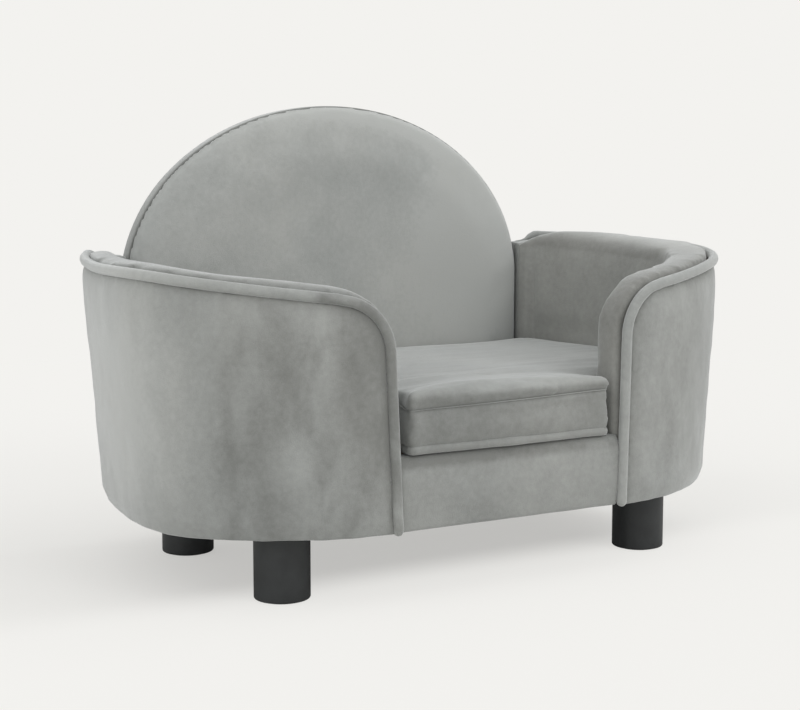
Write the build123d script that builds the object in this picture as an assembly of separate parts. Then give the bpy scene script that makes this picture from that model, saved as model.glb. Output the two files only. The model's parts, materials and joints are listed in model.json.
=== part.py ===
from build123d import *
import os
from collections import namedtuple
from math import asin, atan, atan2, ceil, cos, degrees, radians, sin, sqrt, tan

# A small upholstered sofa bed for a dog. All sizes are in millimetres.
# The front faces -Y, Z is up, and X runs to the right of someone who looks at the front.
# The origin lies on the floor under the middle of the whole piece.

# Overall
total_height = 435.0
half_depth = 180.0
underside_z = 62.0
rim_z = 272.0

# Outer wall seen from above at the underside, and how the plan changes from there to the rim
base_half_width = 299.0
base_straight = 106.0
base_side_y = -33.5
side_flare = 15.5
straight_gain = -5.5
front_lean = 3.0
side_shift = 2.0
side_radius = 112.0
rear_radius = 450.0

# Inner face of the arms, seen from above
arm_thickness = 33.0
nose_depth = 43.0
inner_straight = 118.0
inner_side_y = -28.0
inner_side_radius = 80.0
inner_rear_radius = 690.0
nose_tip_x = 108.0

# Outline of an arm, seen from the front, and how it rises towards the back
arm_edge_x = 125.0
arm_edge_lean_share = 0.037
arm_top_x = 182.0
arm_top_z = 261.5
arm_top_slope_share = 0.109
arm_rise_share = 0.052
arm_corner_radius = 42.0
arm_end_round = 24.0
crest_rise = 14.0

# Top of the arm's padding: share of its height, and share of its width that it leans inwards there
arm_roll_shares = ((0.0, 0.0), (0.5, 0.02), (0.72, 0.08), (0.86, 0.18), (0.95, 0.32), (1.0, 0.5))
roll_depth = 28.0

# Backrest
back_shoulder = 67.0
arch_rise = 183.5
back_seam_y = 165.5
back_crown = 15.0
back_edge_roll = 46.0

# Crown of the backrest: share of its depth, and share of the edge roll drawn in there
back_crown_shares = ((0.0, 0.0), (0.38, 0.05), (0.7, 0.2), (0.9, 0.5), (1.0, 1.0))

# Materials of the frame and the upholstery
fabric = 1.2
fit_gap = 0.3
running_gap = 0.05
overrun = 5.0
quarter_turn = 90.0
arm_board_thickness = 9.0
back_board_thickness = 12.0
base_board_thickness = 12.0
deck_thickness = 9.0
rail_thickness = 14.0
rail_padding = 5.0
post_depth = 17.0
post_width = 36.0
dust_cloth = 0.8
hem_width = 18.0
return_width = 40.0
dust_cover_inset = 10.0

# Welt of the arms: how far its middle lies inside the wall's face, how far its foot stands behind
# the wall's foremost line, room kept round it, and the spacing of the places it runs through,
# with the share of a run that each bend may use
welt_radius = 4.8
welt_sink = 1.0
foot_setback = 0.44
welt_clearance = 1.0
welt_spacing = 20.0
welt_corner_steps = 8
bend_share = 0.45

# Seat frame
deck_top_z = 127.0
bearer_width = 25.0
bearer_x = 95.0
rail_half_length = 150.0

# Cloth of the front rail: share of the height, how far the cloth stands out there as a share of
# the padding, and how far that place sags in the middle as a share of the height
rail_fold_shares = (
    (0.0, 0.1, 0.0),
    (0.1, 0.55, 0.0),
    (0.42, 0.75, 0.0),
    (0.66, 0.65, 0.03),
    (0.76, 0.9, 0.06),
    (0.84, 0.8, 0.06),
    (0.92, 0.45, 0.03),
    (1.0, 0.1, 0.0),
)
rail_section_shares = (-1.0, -0.5, 0.0, 0.5, 1.0)

# Seat cushion
cushion_half_front = 104.0
cushion_front_y = -169.0
cushion_gap = 4.0
cushion_height = 56.0
cushion_bow = 4.0
cushion_welt_radius = 4.4
cushion_welt_out = 3.0
cushion_seam_out = 1.4
cushion_seam_half_width = 1.8
lower_seam_rise = 5.0
upper_seam_rise = 43.0
foam_slack = 0.2

# Form of the cushion: share of its height, and inset there as a share of its front half width
waist_share = 0.05
cushion_form_shares = (
    (0.0, 0.06),
    (0.09, 0.0),
    (0.26, 0.035),
    (0.5, waist_share),
    (0.68, 0.03),
    (0.77, 0.0),
    (0.86, 0.005),
    (0.93, 0.02),
    (0.975, 0.06),
    (1.0, 0.17),
)

# Section of a sewn ridge: share of its half height, and share of how far it stands out there
ridge_shares = ((-1.0, -0.25), (-0.7, 0.65), (0.0, 1.0), (0.7, 0.65), (1.0, -0.25))

# Zip in the rear band of the cushion
zip_length = 300.0
zip_tape_height = 14.0
zip_tape_thickness = 0.8
chain_rod_radius = 0.8
chain_rod_spacing = 4.2
slider_width = 8.0
slider_length = 10.0
slider_plate = 0.8
slider_bridge_width = 2.0
slider_bridge_length = 3.0
slider_gap = 0.2
slider_start_share = 0.02
pull_length = 16.0
pull_width = 5.0
pull_thickness = 1.0
foam_channel_depth = 4.0

# Legs and their fittings
leg_radius = 25.0
leg_side_inset = 102.5
leg_front_y = -104.0
leg_rear_y = 101.0
leg_edge_round = 2.0
leg_floor_gap = 1.0
glide_radius = 20.0
glide_thickness = 2.5
glide_pin_radius = 3.0
glide_pin_length = 8.0
bolt_radius = 4.0
bolt_depth_in_leg = 25.0
bolt_above_board = 4.0
tee_barrel_radius = 5.0
tee_flange_radius = 11.0
tee_flange_thickness = 1.5

# Screws and bolts of the frame
screw_radius = 2.0
screw_head_radius = 4.0
screw_head_height = 2.2
screw_length = 32.0
screw_sink = 0.6
deck_screw_inset = 40.0
back_bolt_radius = 3.0
back_bolt_length = 48.0
back_bolt_head_radius = 6.0
back_bolt_head_height = 3.0
washer_radius = 7.5
washer_thickness = 1.0
base_screw_angles = (-28.0, 11.0)
post_screw_height_shares = (0.2, 0.8)

# Heights and places that follow from the sizes above
rear_y = half_depth
welt_end_y = rear_y - welt_radius
welt_room = welt_sink + welt_radius + welt_clearance
base_front_y = welt_radius - welt_sink - foot_setback - half_depth
rim_half_width = base_half_width + side_flare
rim_straight = base_straight + straight_gain
rim_front_y = base_front_y + front_lean
rim_side_y = base_side_y + side_shift
inner_half_width = base_half_width - arm_thickness
inner_front_y = base_front_y + nose_depth
back_half_width = base_half_width - back_shoulder
leg_x = base_half_width - leg_side_inset
base_board_low_z = underside_z + fabric + fit_gap
base_board_top_z = base_board_low_z + base_board_thickness
deck_low_z = deck_top_z - deck_thickness
pad_low_z = deck_top_z + fit_gap
cushion_low_z = deck_top_z + 2 * fit_gap
board_inset = fabric + fit_gap
board_inner_inset = board_inset + arm_board_thickness
inside_inset = board_inner_inset + fit_gap
rail_front_y = base_front_y + inside_inset + fit_gap + fabric
rail_rear_y = rail_front_y + rail_thickness
back_board_rear_y = rear_y - board_inset
back_board_front_y = back_board_rear_y - back_board_thickness
post_front_y = back_board_rear_y - post_depth
loft_top_z = rim_z + 3 * crest_rise
reach = 2 * total_height
zip_z = cushion_low_z + cushion_height / 2
zip_plane_y = back_seam_y - back_crown - cushion_gap - cushion_half_front * waist_share

Oval = namedtuple("Oval", "half_width straight front_y side_y side_radius rear_radius")
BASE_OVAL = Oval(base_half_width, base_straight, base_front_y, base_side_y, side_radius, rear_radius)
RIM_OVAL = Oval(rim_half_width, rim_straight, rim_front_y, rim_side_y, side_radius, rear_radius)
INNER_OVAL = Oval(
    inner_half_width,
    inner_straight,
    inner_front_y,
    inner_side_y,
    inner_side_radius,
    inner_rear_radius,
)


# Plan curves

def oval_at(z):
    """The outer wall's plan at height z, between the underside and the rim."""
    share = (z - underside_z) / (rim_z - underside_z)
    return Oval(*[low + (high - low) * share for low, high in zip(BASE_OVAL, RIM_OVAL)])


def oval_arcs(oval):
    """Centre, radius, first and last angle of the front, side and rear arcs of a plan."""
    across = oval.half_width - oval.straight
    along = oval.side_y - oval.front_y
    front_radius = (across**2 + along**2 - 2 * across * oval.side_radius) / (
        2 * (along - oval.side_radius)
    )
    turn = degrees(atan2(along - front_radius, across - oval.side_radius))
    front = ((oval.straight, oval.front_y + front_radius), front_radius, -quarter_turn, turn)
    side = ((oval.half_width - oval.side_radius, oval.side_y), oval.side_radius, turn, 0.0)
    rear = ((oval.half_width - oval.rear_radius, oval.side_y), oval.rear_radius, 0.0, None)
    return front, side, rear


def end_angle(oval, inset, end_y):
    """Angle on the rear arc at which it reaches end_y."""
    return degrees(asin((end_y - oval.side_y) / (oval.rear_radius - inset)))


def arc_point(centre, radius, angle):
    return (centre[0] + radius * cos(radians(angle)), centre[1] + radius * sin(radians(angle)))


def wall_point(z, arc_number, share, inset, end_y=rear_y):
    """Point on the outer wall at height z: a share of the way along one of its three arcs."""
    oval = oval_at(z)
    centre, radius, first, last = oval_arcs(oval)[arc_number]
    if last is None:
        last = end_angle(oval, inset, end_y)
    x, y = arc_point(centre, radius - inset, first + (last - first) * share)
    return (x, y, z)


def front_wall_y(x, z, inset):
    """Depth of the wall's front, moved inwards by inset, at x and height z."""
    oval = oval_at(z)
    (_, centre_y), radius, _, _ = oval_arcs(oval)[0]
    beside = max(x - oval.straight, 0)
    return centre_y - sqrt((radius - inset) ** 2 - beside**2)


def plan_path(oval, inset, start_x, end_y):
    """Edges from start_x on the straight front round the side to end_y, moved inwards by inset."""
    edges = [Line((start_x, oval.front_y + inset), (oval.straight, oval.front_y + inset))]
    for centre, radius, first, last in oval_arcs(oval):
        if last is None:
            last = end_angle(oval, inset, end_y)
        edges.append(CenterArc(centre, radius - inset, first, last - first))
    return edges


def ring_face(z, outer, outer_inset, inner, inner_inset, start_x, end_y):
    """Flat band between two plan curves at height z."""
    outer_edges = plan_path(outer, outer_inset, start_x, end_y)
    inner_edges = plan_path(inner, inner_inset, start_x, end_y)
    ends = [
        Line(outer_edges[0] @ 0, inner_edges[0] @ 0),
        Line(outer_edges[-1] @ 1, inner_edges[-1] @ 1),
    ]
    return Pos(0, 0, z) * make_face(outer_edges + inner_edges + ends)


def wall_shell(outer_inset, inner_inset, end_y):
    """Upright layer of the flared wall, from the underside to above the rim."""
    faces = [
        ring_face(z, oval_at(z), outer_inset, oval_at(z), inner_inset, 0, end_y)
        for z in (underside_z, loft_top_z)
    ]
    return loft(faces, ruled=True)


def half_plan(z, inset, end_y):
    """Right half of the area inside the wall at height z, as far back as end_y."""
    edges = plan_path(oval_at(z), inset, 0, end_y)
    edges.append(Line(edges[-1] @ 1, (0, end_y)))
    edges.append(Line((0, end_y), edges[0] @ 0))
    return Pos(0, 0, z) * make_face(edges)


def oval_plate(low_z, top_z, inset, front_y, end_y):
    """Board that fills the plan inside the wall, cut level out of the whole flared form."""
    faces = [half_plan(z, inset, end_y) for z in (underside_z, loft_top_z)]
    layer = block((0, front_y, low_z), (reach, reach, top_z))
    return both_sides(loft(faces, ruled=True) & layer)


def block(low, high):
    """Box between two opposite corners."""
    size = [b - a for a, b in zip(low, high)]
    middle = [(a + b) / 2 for a, b in zip(low, high)]
    return Pos(*middle) * Box(*size)


def both_sides(solid):
    return solid + mirror(solid, about=Plane.YZ)


# Outline of the arms, seen from the front

def edge_x(outset, z):
    """Place of the arm's leaning front edge at height z, moved outwards by outset."""
    shift = outset / cos(atan(arm_edge_lean_share))
    return arm_edge_x - shift + arm_edge_lean_share * (z - underside_z)


def arm_outline(outset):
    """Foot, corner and far top point of the outline halfway back, moved outwards by outset."""
    foot_x = edge_x(outset, 0)
    top_at_zero_x = outline_top_z(outset, 0, 0)
    corner_z = (top_at_zero_x + arm_top_slope_share * foot_x) / (
        1 - arm_top_slope_share * arm_edge_lean_share
    )
    far_z = outline_top_z(outset, total_height, 0)
    return (foot_x, 0), (edge_x(outset, corner_z), corner_z), (total_height, far_z)


def arm_prism(outset, low_z=underside_z):
    """Everything behind the arm's outline, above low_z."""
    foot, corner, far = arm_outline(outset)
    edge = FilletPolyline(foot, corner, far, radius=arm_corner_radius + outset)
    rest = Polyline(far, (total_height, 0), foot)
    outline = Plane.XZ * make_face([*edge.edges(), *rest.edges()])
    prism = extrude(outline, amount=reach, dir=(0, 1, arm_rise_share), both=True)
    return prism & block((0, -reach, low_z), (reach, reach, reach))


def outline_point(outset, share):
    """Point (x, z) a share of the way round the rounded corner of the outline halfway back."""
    foot, corner, far = arm_outline(outset)
    edge = FilletPolyline(foot, corner, far, radius=arm_corner_radius + outset)
    point = edge.edges().filter_by(GeomType.CIRCLE)[0] @ share
    return point.X, point.Y


def outline_top_z(outset, x, y):
    """Height of the arm's outline above a place beside the rounded corner."""
    shift = outset / cos(atan(arm_top_slope_share))
    rise = arm_top_slope_share * (x - arm_top_x) + arm_rise_share * (y - base_front_y)
    return arm_top_z + shift + rise


# Arms

def arm_space(outer_inset, face_inset, top_outset, end_y):
    """Room of the padded arm: outer wall to inner face, rolled over at the top, round at the nose."""
    roll_low_z = rim_z - roll_depth
    roll_height = outline_top_z(top_outset, rim_half_width, rear_y) - roll_low_z
    roll_width = inner_straight - nose_tip_x + crest_rise
    faces = [ring_face(underside_z, BASE_OVAL, outer_inset, INNER_OVAL, face_inset, 0, end_y)]
    for height_share, width_share in arm_roll_shares:
        z = roll_low_z + roll_height * height_share
        inset = face_inset - roll_width * width_share
        faces.append(ring_face(z, oval_at(z), outer_inset, INNER_OVAL, inset, 0, end_y))
    body = loft(faces, ruled=True)
    front = base_front_y + outer_inset
    nose_radius = (inner_front_y + face_inset - front) / 2
    nose_x = nose_tip_x - face_inset + nose_radius
    nose = Pos(nose_x, front + nose_radius, 0) * Cylinder(nose_radius, reach)
    behind_nose = block((nose_x, -reach, -reach), (reach, reach, reach))
    return body & (nose + behind_nose) & arm_prism(top_outset) & rounded_end(top_outset, end_y)


def rounded_end(top_outset, end_y):
    """Space in front of end_y, with its top edge rounded down towards the backrest."""
    radius = arm_end_round
    top_z = outline_top_z(top_outset, back_half_width, end_y)
    along_x = Rot(0, quarter_turn, 0)
    roll = Pos(reach / 2, end_y - radius, top_z - radius) * along_x * Cylinder(radius, reach)
    before = block((0, -reach, 0), (reach, end_y - radius, reach))
    below = block((0, -reach, 0), (reach, end_y, top_z - radius))
    return before + below + roll


def below_pads():
    """Space under the deck that the arm's padding leaves free, all but a strip at the nose."""
    behind_rail = block((0, rail_front_y - fit_gap, 0), (reach, reach, pad_low_z))
    beside_edge = block((arm_edge_x, -reach, 0), (reach, reach, pad_low_z))
    return behind_rail + beside_edge


def arm_board():
    board = wall_shell(board_inset, board_inner_inset, back_board_rear_y)
    return board & arm_prism(-fit_gap, base_board_low_z)


def arm_outer_cover():
    """Cloth on the outside of the arm, turned in under its lower edge and across its rear end."""
    above_hem = block((0, -reach, underside_z + fabric), (reach, reach, reach))
    inside_y = rear_y - fabric
    inside = wall_shell(fabric, return_width + overrun, inside_y) & above_hem
    beside_hem = wall_shell(hem_width, return_width + overrun, inside_y)
    back_room = block((0, rear_y - hem_width - fit_gap, 0), (back_half_width + fit_gap, reach, reach))
    return (wall_shell(0, return_width, rear_y) - inside - beside_hem - back_room) & arm_prism(0)


def arm_layers():
    """Foam and inner cover of the right arm."""
    end_y = post_front_y - fit_gap
    cover_space = arm_space(welt_room, 0, crest_rise, end_y)
    foam_space = arm_space(welt_room + fabric, -fabric, crest_rise - fabric, end_y - fabric)
    behind_board = wall_shell(-overrun, inside_inset, rear_y) & arm_prism(0)
    taken = behind_board + below_pads()
    foam = foam_space - taken
    cover = cover_space - foam_space - taken
    return foam, cover


def arm_post():
    """Timber post between the arm board and the edge of the back board."""
    inner_x = back_half_width + fit_gap
    room = block((inner_x, post_front_y, base_board_low_z), (reach, back_board_rear_y, reach))
    return (wall_shell(inside_inset, inside_inset + post_width, rear_y) & room) & arm_prism(-fit_gap)


def arm_cap():
    """Cloth over the top of the post, from the end of the padding to the rear."""
    inner_x = back_half_width + fit_gap
    room = block((inner_x, post_front_y, underside_z), (reach, rear_y, reach))
    layer = arm_prism(fabric) - arm_prism(0)
    return (wall_shell(welt_room, inside_inset + post_width, rear_y) & room) & layer


def tube_along(points, radius):
    """Round cord through points, each corner turned by an arc as large as its runs allow."""
    vectors = [Vector(*point) for point in points]
    corner_radii = []
    for before, here, after in zip(vectors, vectors[1:], vectors[2:]):
        turn = radians((here - before).get_angle(after - here))
        run = min((here - before).length, (after - here).length)
        corner_radii.append(bend_share * run / tan(turn / 2))
    path = FilletPolyline(*vectors, radius=corner_radii)
    start = Plane(origin=path @ 0, z_dir=path % 0)
    return sweep(start * Circle(radius), path=path)


def rim_stops(after_x):
    """Places along the rim from after_x to the backrest: arc number and share along that arc."""
    stops = []
    for arc_number, (centre, radius, first, last) in enumerate(oval_arcs(RIM_OVAL)):
        if last is None:
            last = end_angle(RIM_OVAL, welt_sink, welt_end_y)
        count = ceil(radians(last - first) * radius / welt_spacing)
        for step in range(1, count + 1):
            share = step / count
            if wall_point(rim_z, arc_number, share, welt_sink)[0] > after_x or arc_number > 0:
                stops.append((arc_number, share))
    return stops


def arm_welt():
    """Piping up the arm's front edge and along its rim to the backrest."""
    outset = welt_radius + fit_gap
    foot_z = underside_z + fit_gap
    foot_x = edge_x(outset, foot_z)
    points = [(foot_x, front_wall_y(foot_x, foot_z, welt_sink), foot_z)]
    for step in range(welt_corner_steps + 1):
        x, middle_z = outline_point(outset, step / welt_corner_steps)
        z = middle_z + arm_rise_share * front_wall_y(x, middle_z, welt_sink)
        points.append((x, front_wall_y(x, z, welt_sink), z))
    for arc_number, share in rim_stops(points[-1][0] + welt_spacing / 2):
        x, y, _ = wall_point(rim_z, arc_number, share, welt_sink)
        z = outline_top_z(outset, x, y)
        points.append(wall_point(z, arc_number, share, welt_sink, welt_end_y))
    return tube_along(points, welt_radius)


# Backrest

def arch_face(inset, low_z):
    """Arched outline in the XZ plane, moved inwards by inset."""
    half = back_half_width - inset
    spring_z = total_height - arch_rise
    arches = [
        EllipticalCenterArc((0, spring_z), half, arch_rise - inset, start, arc_size=quarter_turn)
        for start in (0.0, quarter_turn)
    ]
    sides = Polyline((-half, spring_z), (-half, low_z), (half, low_z), (half, spring_z))
    return make_face([*arches, *sides.edges()])


def arch_plate(inset, low_z, front_y, rear):
    """Plate of the arched outline between two depths."""
    face = Pos(0, rear, 0) * (Plane.XZ * arch_face(inset, low_z))
    return extrude(face, amount=rear - front_y)


def back_pad(inset):
    """Crowned pad on the front of the back board, every face moved inwards by inset."""
    rear = back_board_front_y - fit_gap
    faces = [Pos(0, rear, 0) * (Plane.XZ * arch_face(fabric + inset, pad_low_z))]
    for depth_share, roll_share in back_crown_shares:
        y = back_seam_y - (back_crown - inset) * depth_share
        roll = fabric + inset + back_edge_roll * roll_share
        faces.append(Pos(0, y, 0) * (Plane.XZ * arch_face(roll, pad_low_z)))
    return loft(faces, ruled=True)


def back_pieces():
    board = arch_plate(board_inset, base_board_low_z, back_board_front_y, back_board_rear_y)
    band_rear = rear_y - fabric
    band = arch_plate(0, base_board_low_z, back_seam_y, band_rear) - arch_plate(
        fabric, -overrun, back_seam_y - overrun, band_rear + overrun
    )
    panel = arch_plate(0, underside_z, band_rear, rear_y)
    hem = block((-back_half_width, rear_y - hem_width, underside_z), (back_half_width, rear_y, underside_z + fabric))
    foam = back_pad(fabric)
    cover = back_pad(0) - back_pad(fabric) - arch_plate(
        fabric * 2, pad_low_z - overrun, back_seam_y, rear_y
    )
    return board, band, panel + hem, foam, cover


# Seat frame

def corner_room():
    """Room that the rear posts take out of the base board and the deck."""
    inner_x = back_half_width - board_inset
    return both_sides(block((inner_x, post_front_y - fit_gap, 0), (reach, reach, total_height)))


def nose_room():
    """Room beside the rail that the arm noses take out of the deck."""
    return both_sides(
        block((nose_tip_x - fit_gap, -reach, 0), (reach, rail_rear_y, total_height))
    )


def frame_pieces():
    end_y = back_board_front_y - fit_gap
    base = oval_plate(base_board_low_z, base_board_top_z, inside_inset, rail_rear_y + fit_gap, end_y)
    base -= corner_room()
    deck = oval_plate(deck_low_z, deck_top_z, inside_inset, rail_front_y, end_y)
    deck = deck - corner_room() - nose_room()
    rail = block(
        (-rail_half_length, rail_front_y, base_board_low_z),
        (rail_half_length, rail_rear_y, deck_low_z),
    )
    rail -= both_sides(wall_shell(-overrun, inside_inset, rear_y))
    bearers = {}
    for name, x in (("left", -bearer_x), ("center", 0.0), ("right", bearer_x)):
        bearers[name] = block(
            (x - bearer_width / 2, rail_rear_y + fit_gap, base_board_top_z),
            (x + bearer_width / 2, end_y, deck_low_z),
        )
    return base, deck, rail, bearers


def rail_cloth():
    """Cover of the front rail: two sagging folds near its top, and a hem under the board."""
    half = nose_tip_x - 2 * fit_gap
    height = deck_top_z - fit_gap - underside_z
    flat_y = rail_front_y - rail_padding - fit_gap - fabric
    sections = []
    for across_share in rail_section_shares:
        sag = 1 - across_share**2
        front = []
        for height_share, out_share, drop_share in rail_fold_shares:
            z = underside_z + height * (height_share - drop_share * sag)
            front.append((flat_y - rail_padding * out_share, z))
        back = [(flat_y + fabric, underside_z + height), (flat_y + fabric, underside_z)]
        outline = Polyline(*front, *back, close=True)
        sections.append(Pos(half * across_share, 0, 0) * (Plane.YZ * make_face(outline)))
    cloth = loft(sections, ruled=True)
    hem = block(
        (-half, flat_y, underside_z),
        (half, rail_rear_y + hem_width, underside_z + fabric),
    )
    return cloth + hem


def rail_pad():
    half = nose_tip_x - 2 * fit_gap
    return block(
        (-half, rail_front_y - rail_padding, base_board_low_z),
        (half, rail_front_y - fit_gap, deck_low_z),
    )


# Seat cushion

def cushion_face(z, inset):
    """Plan of the cushion: a bowed front between the arm noses, wide behind them."""
    half_front = cushion_half_front - inset
    front_y = cushion_front_y + inset
    shoulder_y = inner_front_y + cushion_gap + inset
    end_y = back_seam_y - back_crown - cushion_gap - inset
    side = plan_path(INNER_OVAL, cushion_gap + inset, half_front, end_y)
    neck = Line((half_front, front_y), (half_front, shoulder_y))
    rear = Line(side[-1] @ 1, (0, end_y))
    bow_y = front_y - cushion_bow
    right = [neck, *side, rear]
    front = ThreePointArc((-half_front, front_y), (0, bow_y), (half_front, front_y))
    left = [mirror(edge, about=Plane.YZ) for edge in right]
    return Pos(0, 0, z) * make_face([front, *right, *left])


def cushion_body(inset):
    """Crowned cushion with drawn-in sides, every face moved inwards by inset."""
    faces = []
    low_z = cushion_low_z + inset
    height = cushion_height - 2 * inset
    for height_share, inset_share in cushion_form_shares:
        z = low_z + height * height_share
        faces.append(cushion_face(z, inset + cushion_half_front * inset_share))
    return loft(faces, ruled=True)


def seam_ridge(middle_z, half_height, out):
    """Sewn ridge round the cushion, of rounded section, outside the cushion's cover."""
    faces = [
        cushion_face(middle_z + half_height * height_share, -out * out_share)
        for height_share, out_share in ridge_shares
    ]
    return loft(faces, ruled=True) - cushion_body(0)


def cushion_pieces():
    foam = cushion_body(fabric + foam_slack)
    cover = cushion_body(0) - cushion_body(fabric)
    lower_z = cushion_low_z + lower_seam_rise
    upper_z = cushion_low_z + upper_seam_rise
    low = block((-reach, -reach, 0), (reach, reach, lower_z))
    middle = block((-reach, -reach, lower_z), (reach, reach, upper_z))
    high = block((-reach, -reach, upper_z), (reach, reach, reach))
    return foam, cover & low, cover & middle, cover & high, lower_z, upper_z


# Zip

def zip_tapes():
    """Two tapes and the two rods of the closed chain, fixed to the rear band."""
    rod_z = chain_rod_spacing / 2
    tape_height = zip_tape_height / 2 - rod_z
    middle_y = zip_plane_y - fabric / 2
    pieces = []
    for side in (-1, 1):
        z = zip_z + side * (rod_z + tape_height / 2)
        tape = Pos(0, middle_y, z) * Box(zip_length, zip_tape_thickness, tape_height)
        along_x = Rot(0, quarter_turn, 0)
        rod = Pos(0, middle_y, zip_z + side * rod_z) * along_x * Cylinder(chain_rod_radius, zip_length)
        pieces.append(tape + rod)
    return pieces


def zip_slider():
    """Two plates that ride over the chain, with a bridge between its rods."""
    middle_y = zip_plane_y - fabric / 2
    plate_y = chain_rod_radius + slider_gap + slider_plate / 2
    x = -zip_length / 2 + slider_length / 2 + zip_length * slider_start_share
    outer = Pos(x, middle_y + plate_y, zip_z) * Box(slider_length, slider_plate, slider_width)
    inner = Pos(x, middle_y - plate_y, zip_z) * Box(slider_length, slider_plate, slider_width)
    bridge = Pos(x, middle_y, zip_z) * Box(slider_bridge_length, 2 * plate_y, slider_bridge_width)
    pull_y = middle_y + plate_y + slider_plate / 2 + pull_thickness / 2
    pull = Pos(x + pull_length / 2 - slider_length / 2, pull_y, zip_z) * Box(
        pull_length, pull_thickness, pull_width
    )
    return outer + inner + bridge, pull


def zip_slot(depth_in):
    """Room for the tapes in the rear band, or deeper for the channel in the foam."""
    half = zip_length / 2
    return block(
        (-half, zip_plane_y - depth_in, zip_z - zip_tape_height / 2),
        (half, rear_y, zip_z + zip_tape_height / 2),
    )


# Legs and fasteners

def leg():
    """Round leg with a recess for its glide, drilled at both ends."""
    top_z = underside_z - dust_cloth
    height = top_z - leg_floor_gap
    body = Pos(0, 0, leg_floor_gap + height / 2) * Cylinder(leg_radius, height)
    body = fillet(body.edges().group_by(Axis.Z)[0], leg_edge_round)
    recess_top = glide_thickness + running_gap
    recess = Pos(0, 0, recess_top / 2) * Cylinder(glide_radius + running_gap, recess_top)
    pin_top = glide_thickness + glide_pin_length + fit_gap
    pin_hole = Pos(0, 0, pin_top / 2) * Cylinder(glide_pin_radius + running_gap, pin_top)
    bolt_low = top_z - bolt_depth_in_leg - fit_gap
    bolt_hole = Pos(0, 0, (bolt_low + top_z) / 2) * Cylinder(bolt_radius + running_gap, top_z - bolt_low)
    return body - recess - pin_hole - bolt_hole


def glide():
    disc = Pos(0, 0, glide_thickness / 2) * Cylinder(glide_radius, glide_thickness)
    pin = Pos(0, 0, glide_thickness + glide_pin_length / 2) * Cylinder(glide_pin_radius, glide_pin_length)
    return disc + pin


def leg_bolt():
    low_z = underside_z - dust_cloth - bolt_depth_in_leg
    high_z = base_board_top_z + tee_flange_thickness + bolt_above_board
    return Pos(0, 0, (low_z + high_z) / 2) * Cylinder(bolt_radius, high_z - low_z)


def tee_nut():
    barrel = Pos(0, 0, (base_board_low_z + base_board_top_z) / 2) * Cylinder(
        tee_barrel_radius, base_board_thickness
    )
    flange = Pos(0, 0, base_board_top_z + tee_flange_thickness / 2) * Cylinder(
        tee_flange_radius, tee_flange_thickness
    )
    hole = Pos(0, 0, base_board_top_z) * Cylinder(bolt_radius + running_gap, 2 * base_board_thickness)
    return barrel + flange - hole


def drill(radius, low_z, high_z):
    return Pos(0, 0, (low_z + high_z) / 2) * Cylinder(radius, high_z - low_z)


def pin_with_head(shank_radius, head_radius, head_height, length, gap):
    """Screw or bolt whose head face lies at the origin and whose shank points along -Z."""
    head = Pos(0, 0, -head_height / 2) * Cylinder(head_radius + gap, head_height)
    shank = Pos(0, 0, -length / 2) * Cylinder(shank_radius + gap, length)
    return head + shank


def wood_screw(gap=0.0):
    return pin_with_head(screw_radius, screw_head_radius, screw_head_height, screw_length, gap)


def back_bolt():
    return pin_with_head(
        back_bolt_radius, back_bolt_head_radius, back_bolt_head_height, back_bolt_length, 0.0
    )


def back_bolt_room():
    """Counterbore for head and washer, and the hole for the shank."""
    depth = back_bolt_head_height + washer_thickness
    counterbore = Pos(0, 0, -depth / 2) * Cylinder(washer_radius + running_gap, depth)
    shank = Pos(0, 0, -back_bolt_length / 2) * Cylinder(back_bolt_radius + running_gap, back_bolt_length)
    return counterbore + shank


def washer():
    disc = Cylinder(washer_radius, washer_thickness) - Cylinder(
        back_bolt_radius + running_gap, 2 * washer_thickness
    )
    return Pos(0, 0, -back_bolt_head_height - washer_thickness / 2) * disc


def facing(point, outward):
    """Place whose Z axis points outwards from a surface."""
    return Plane(origin=point, z_dir=outward).location


# Assembly

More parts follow.
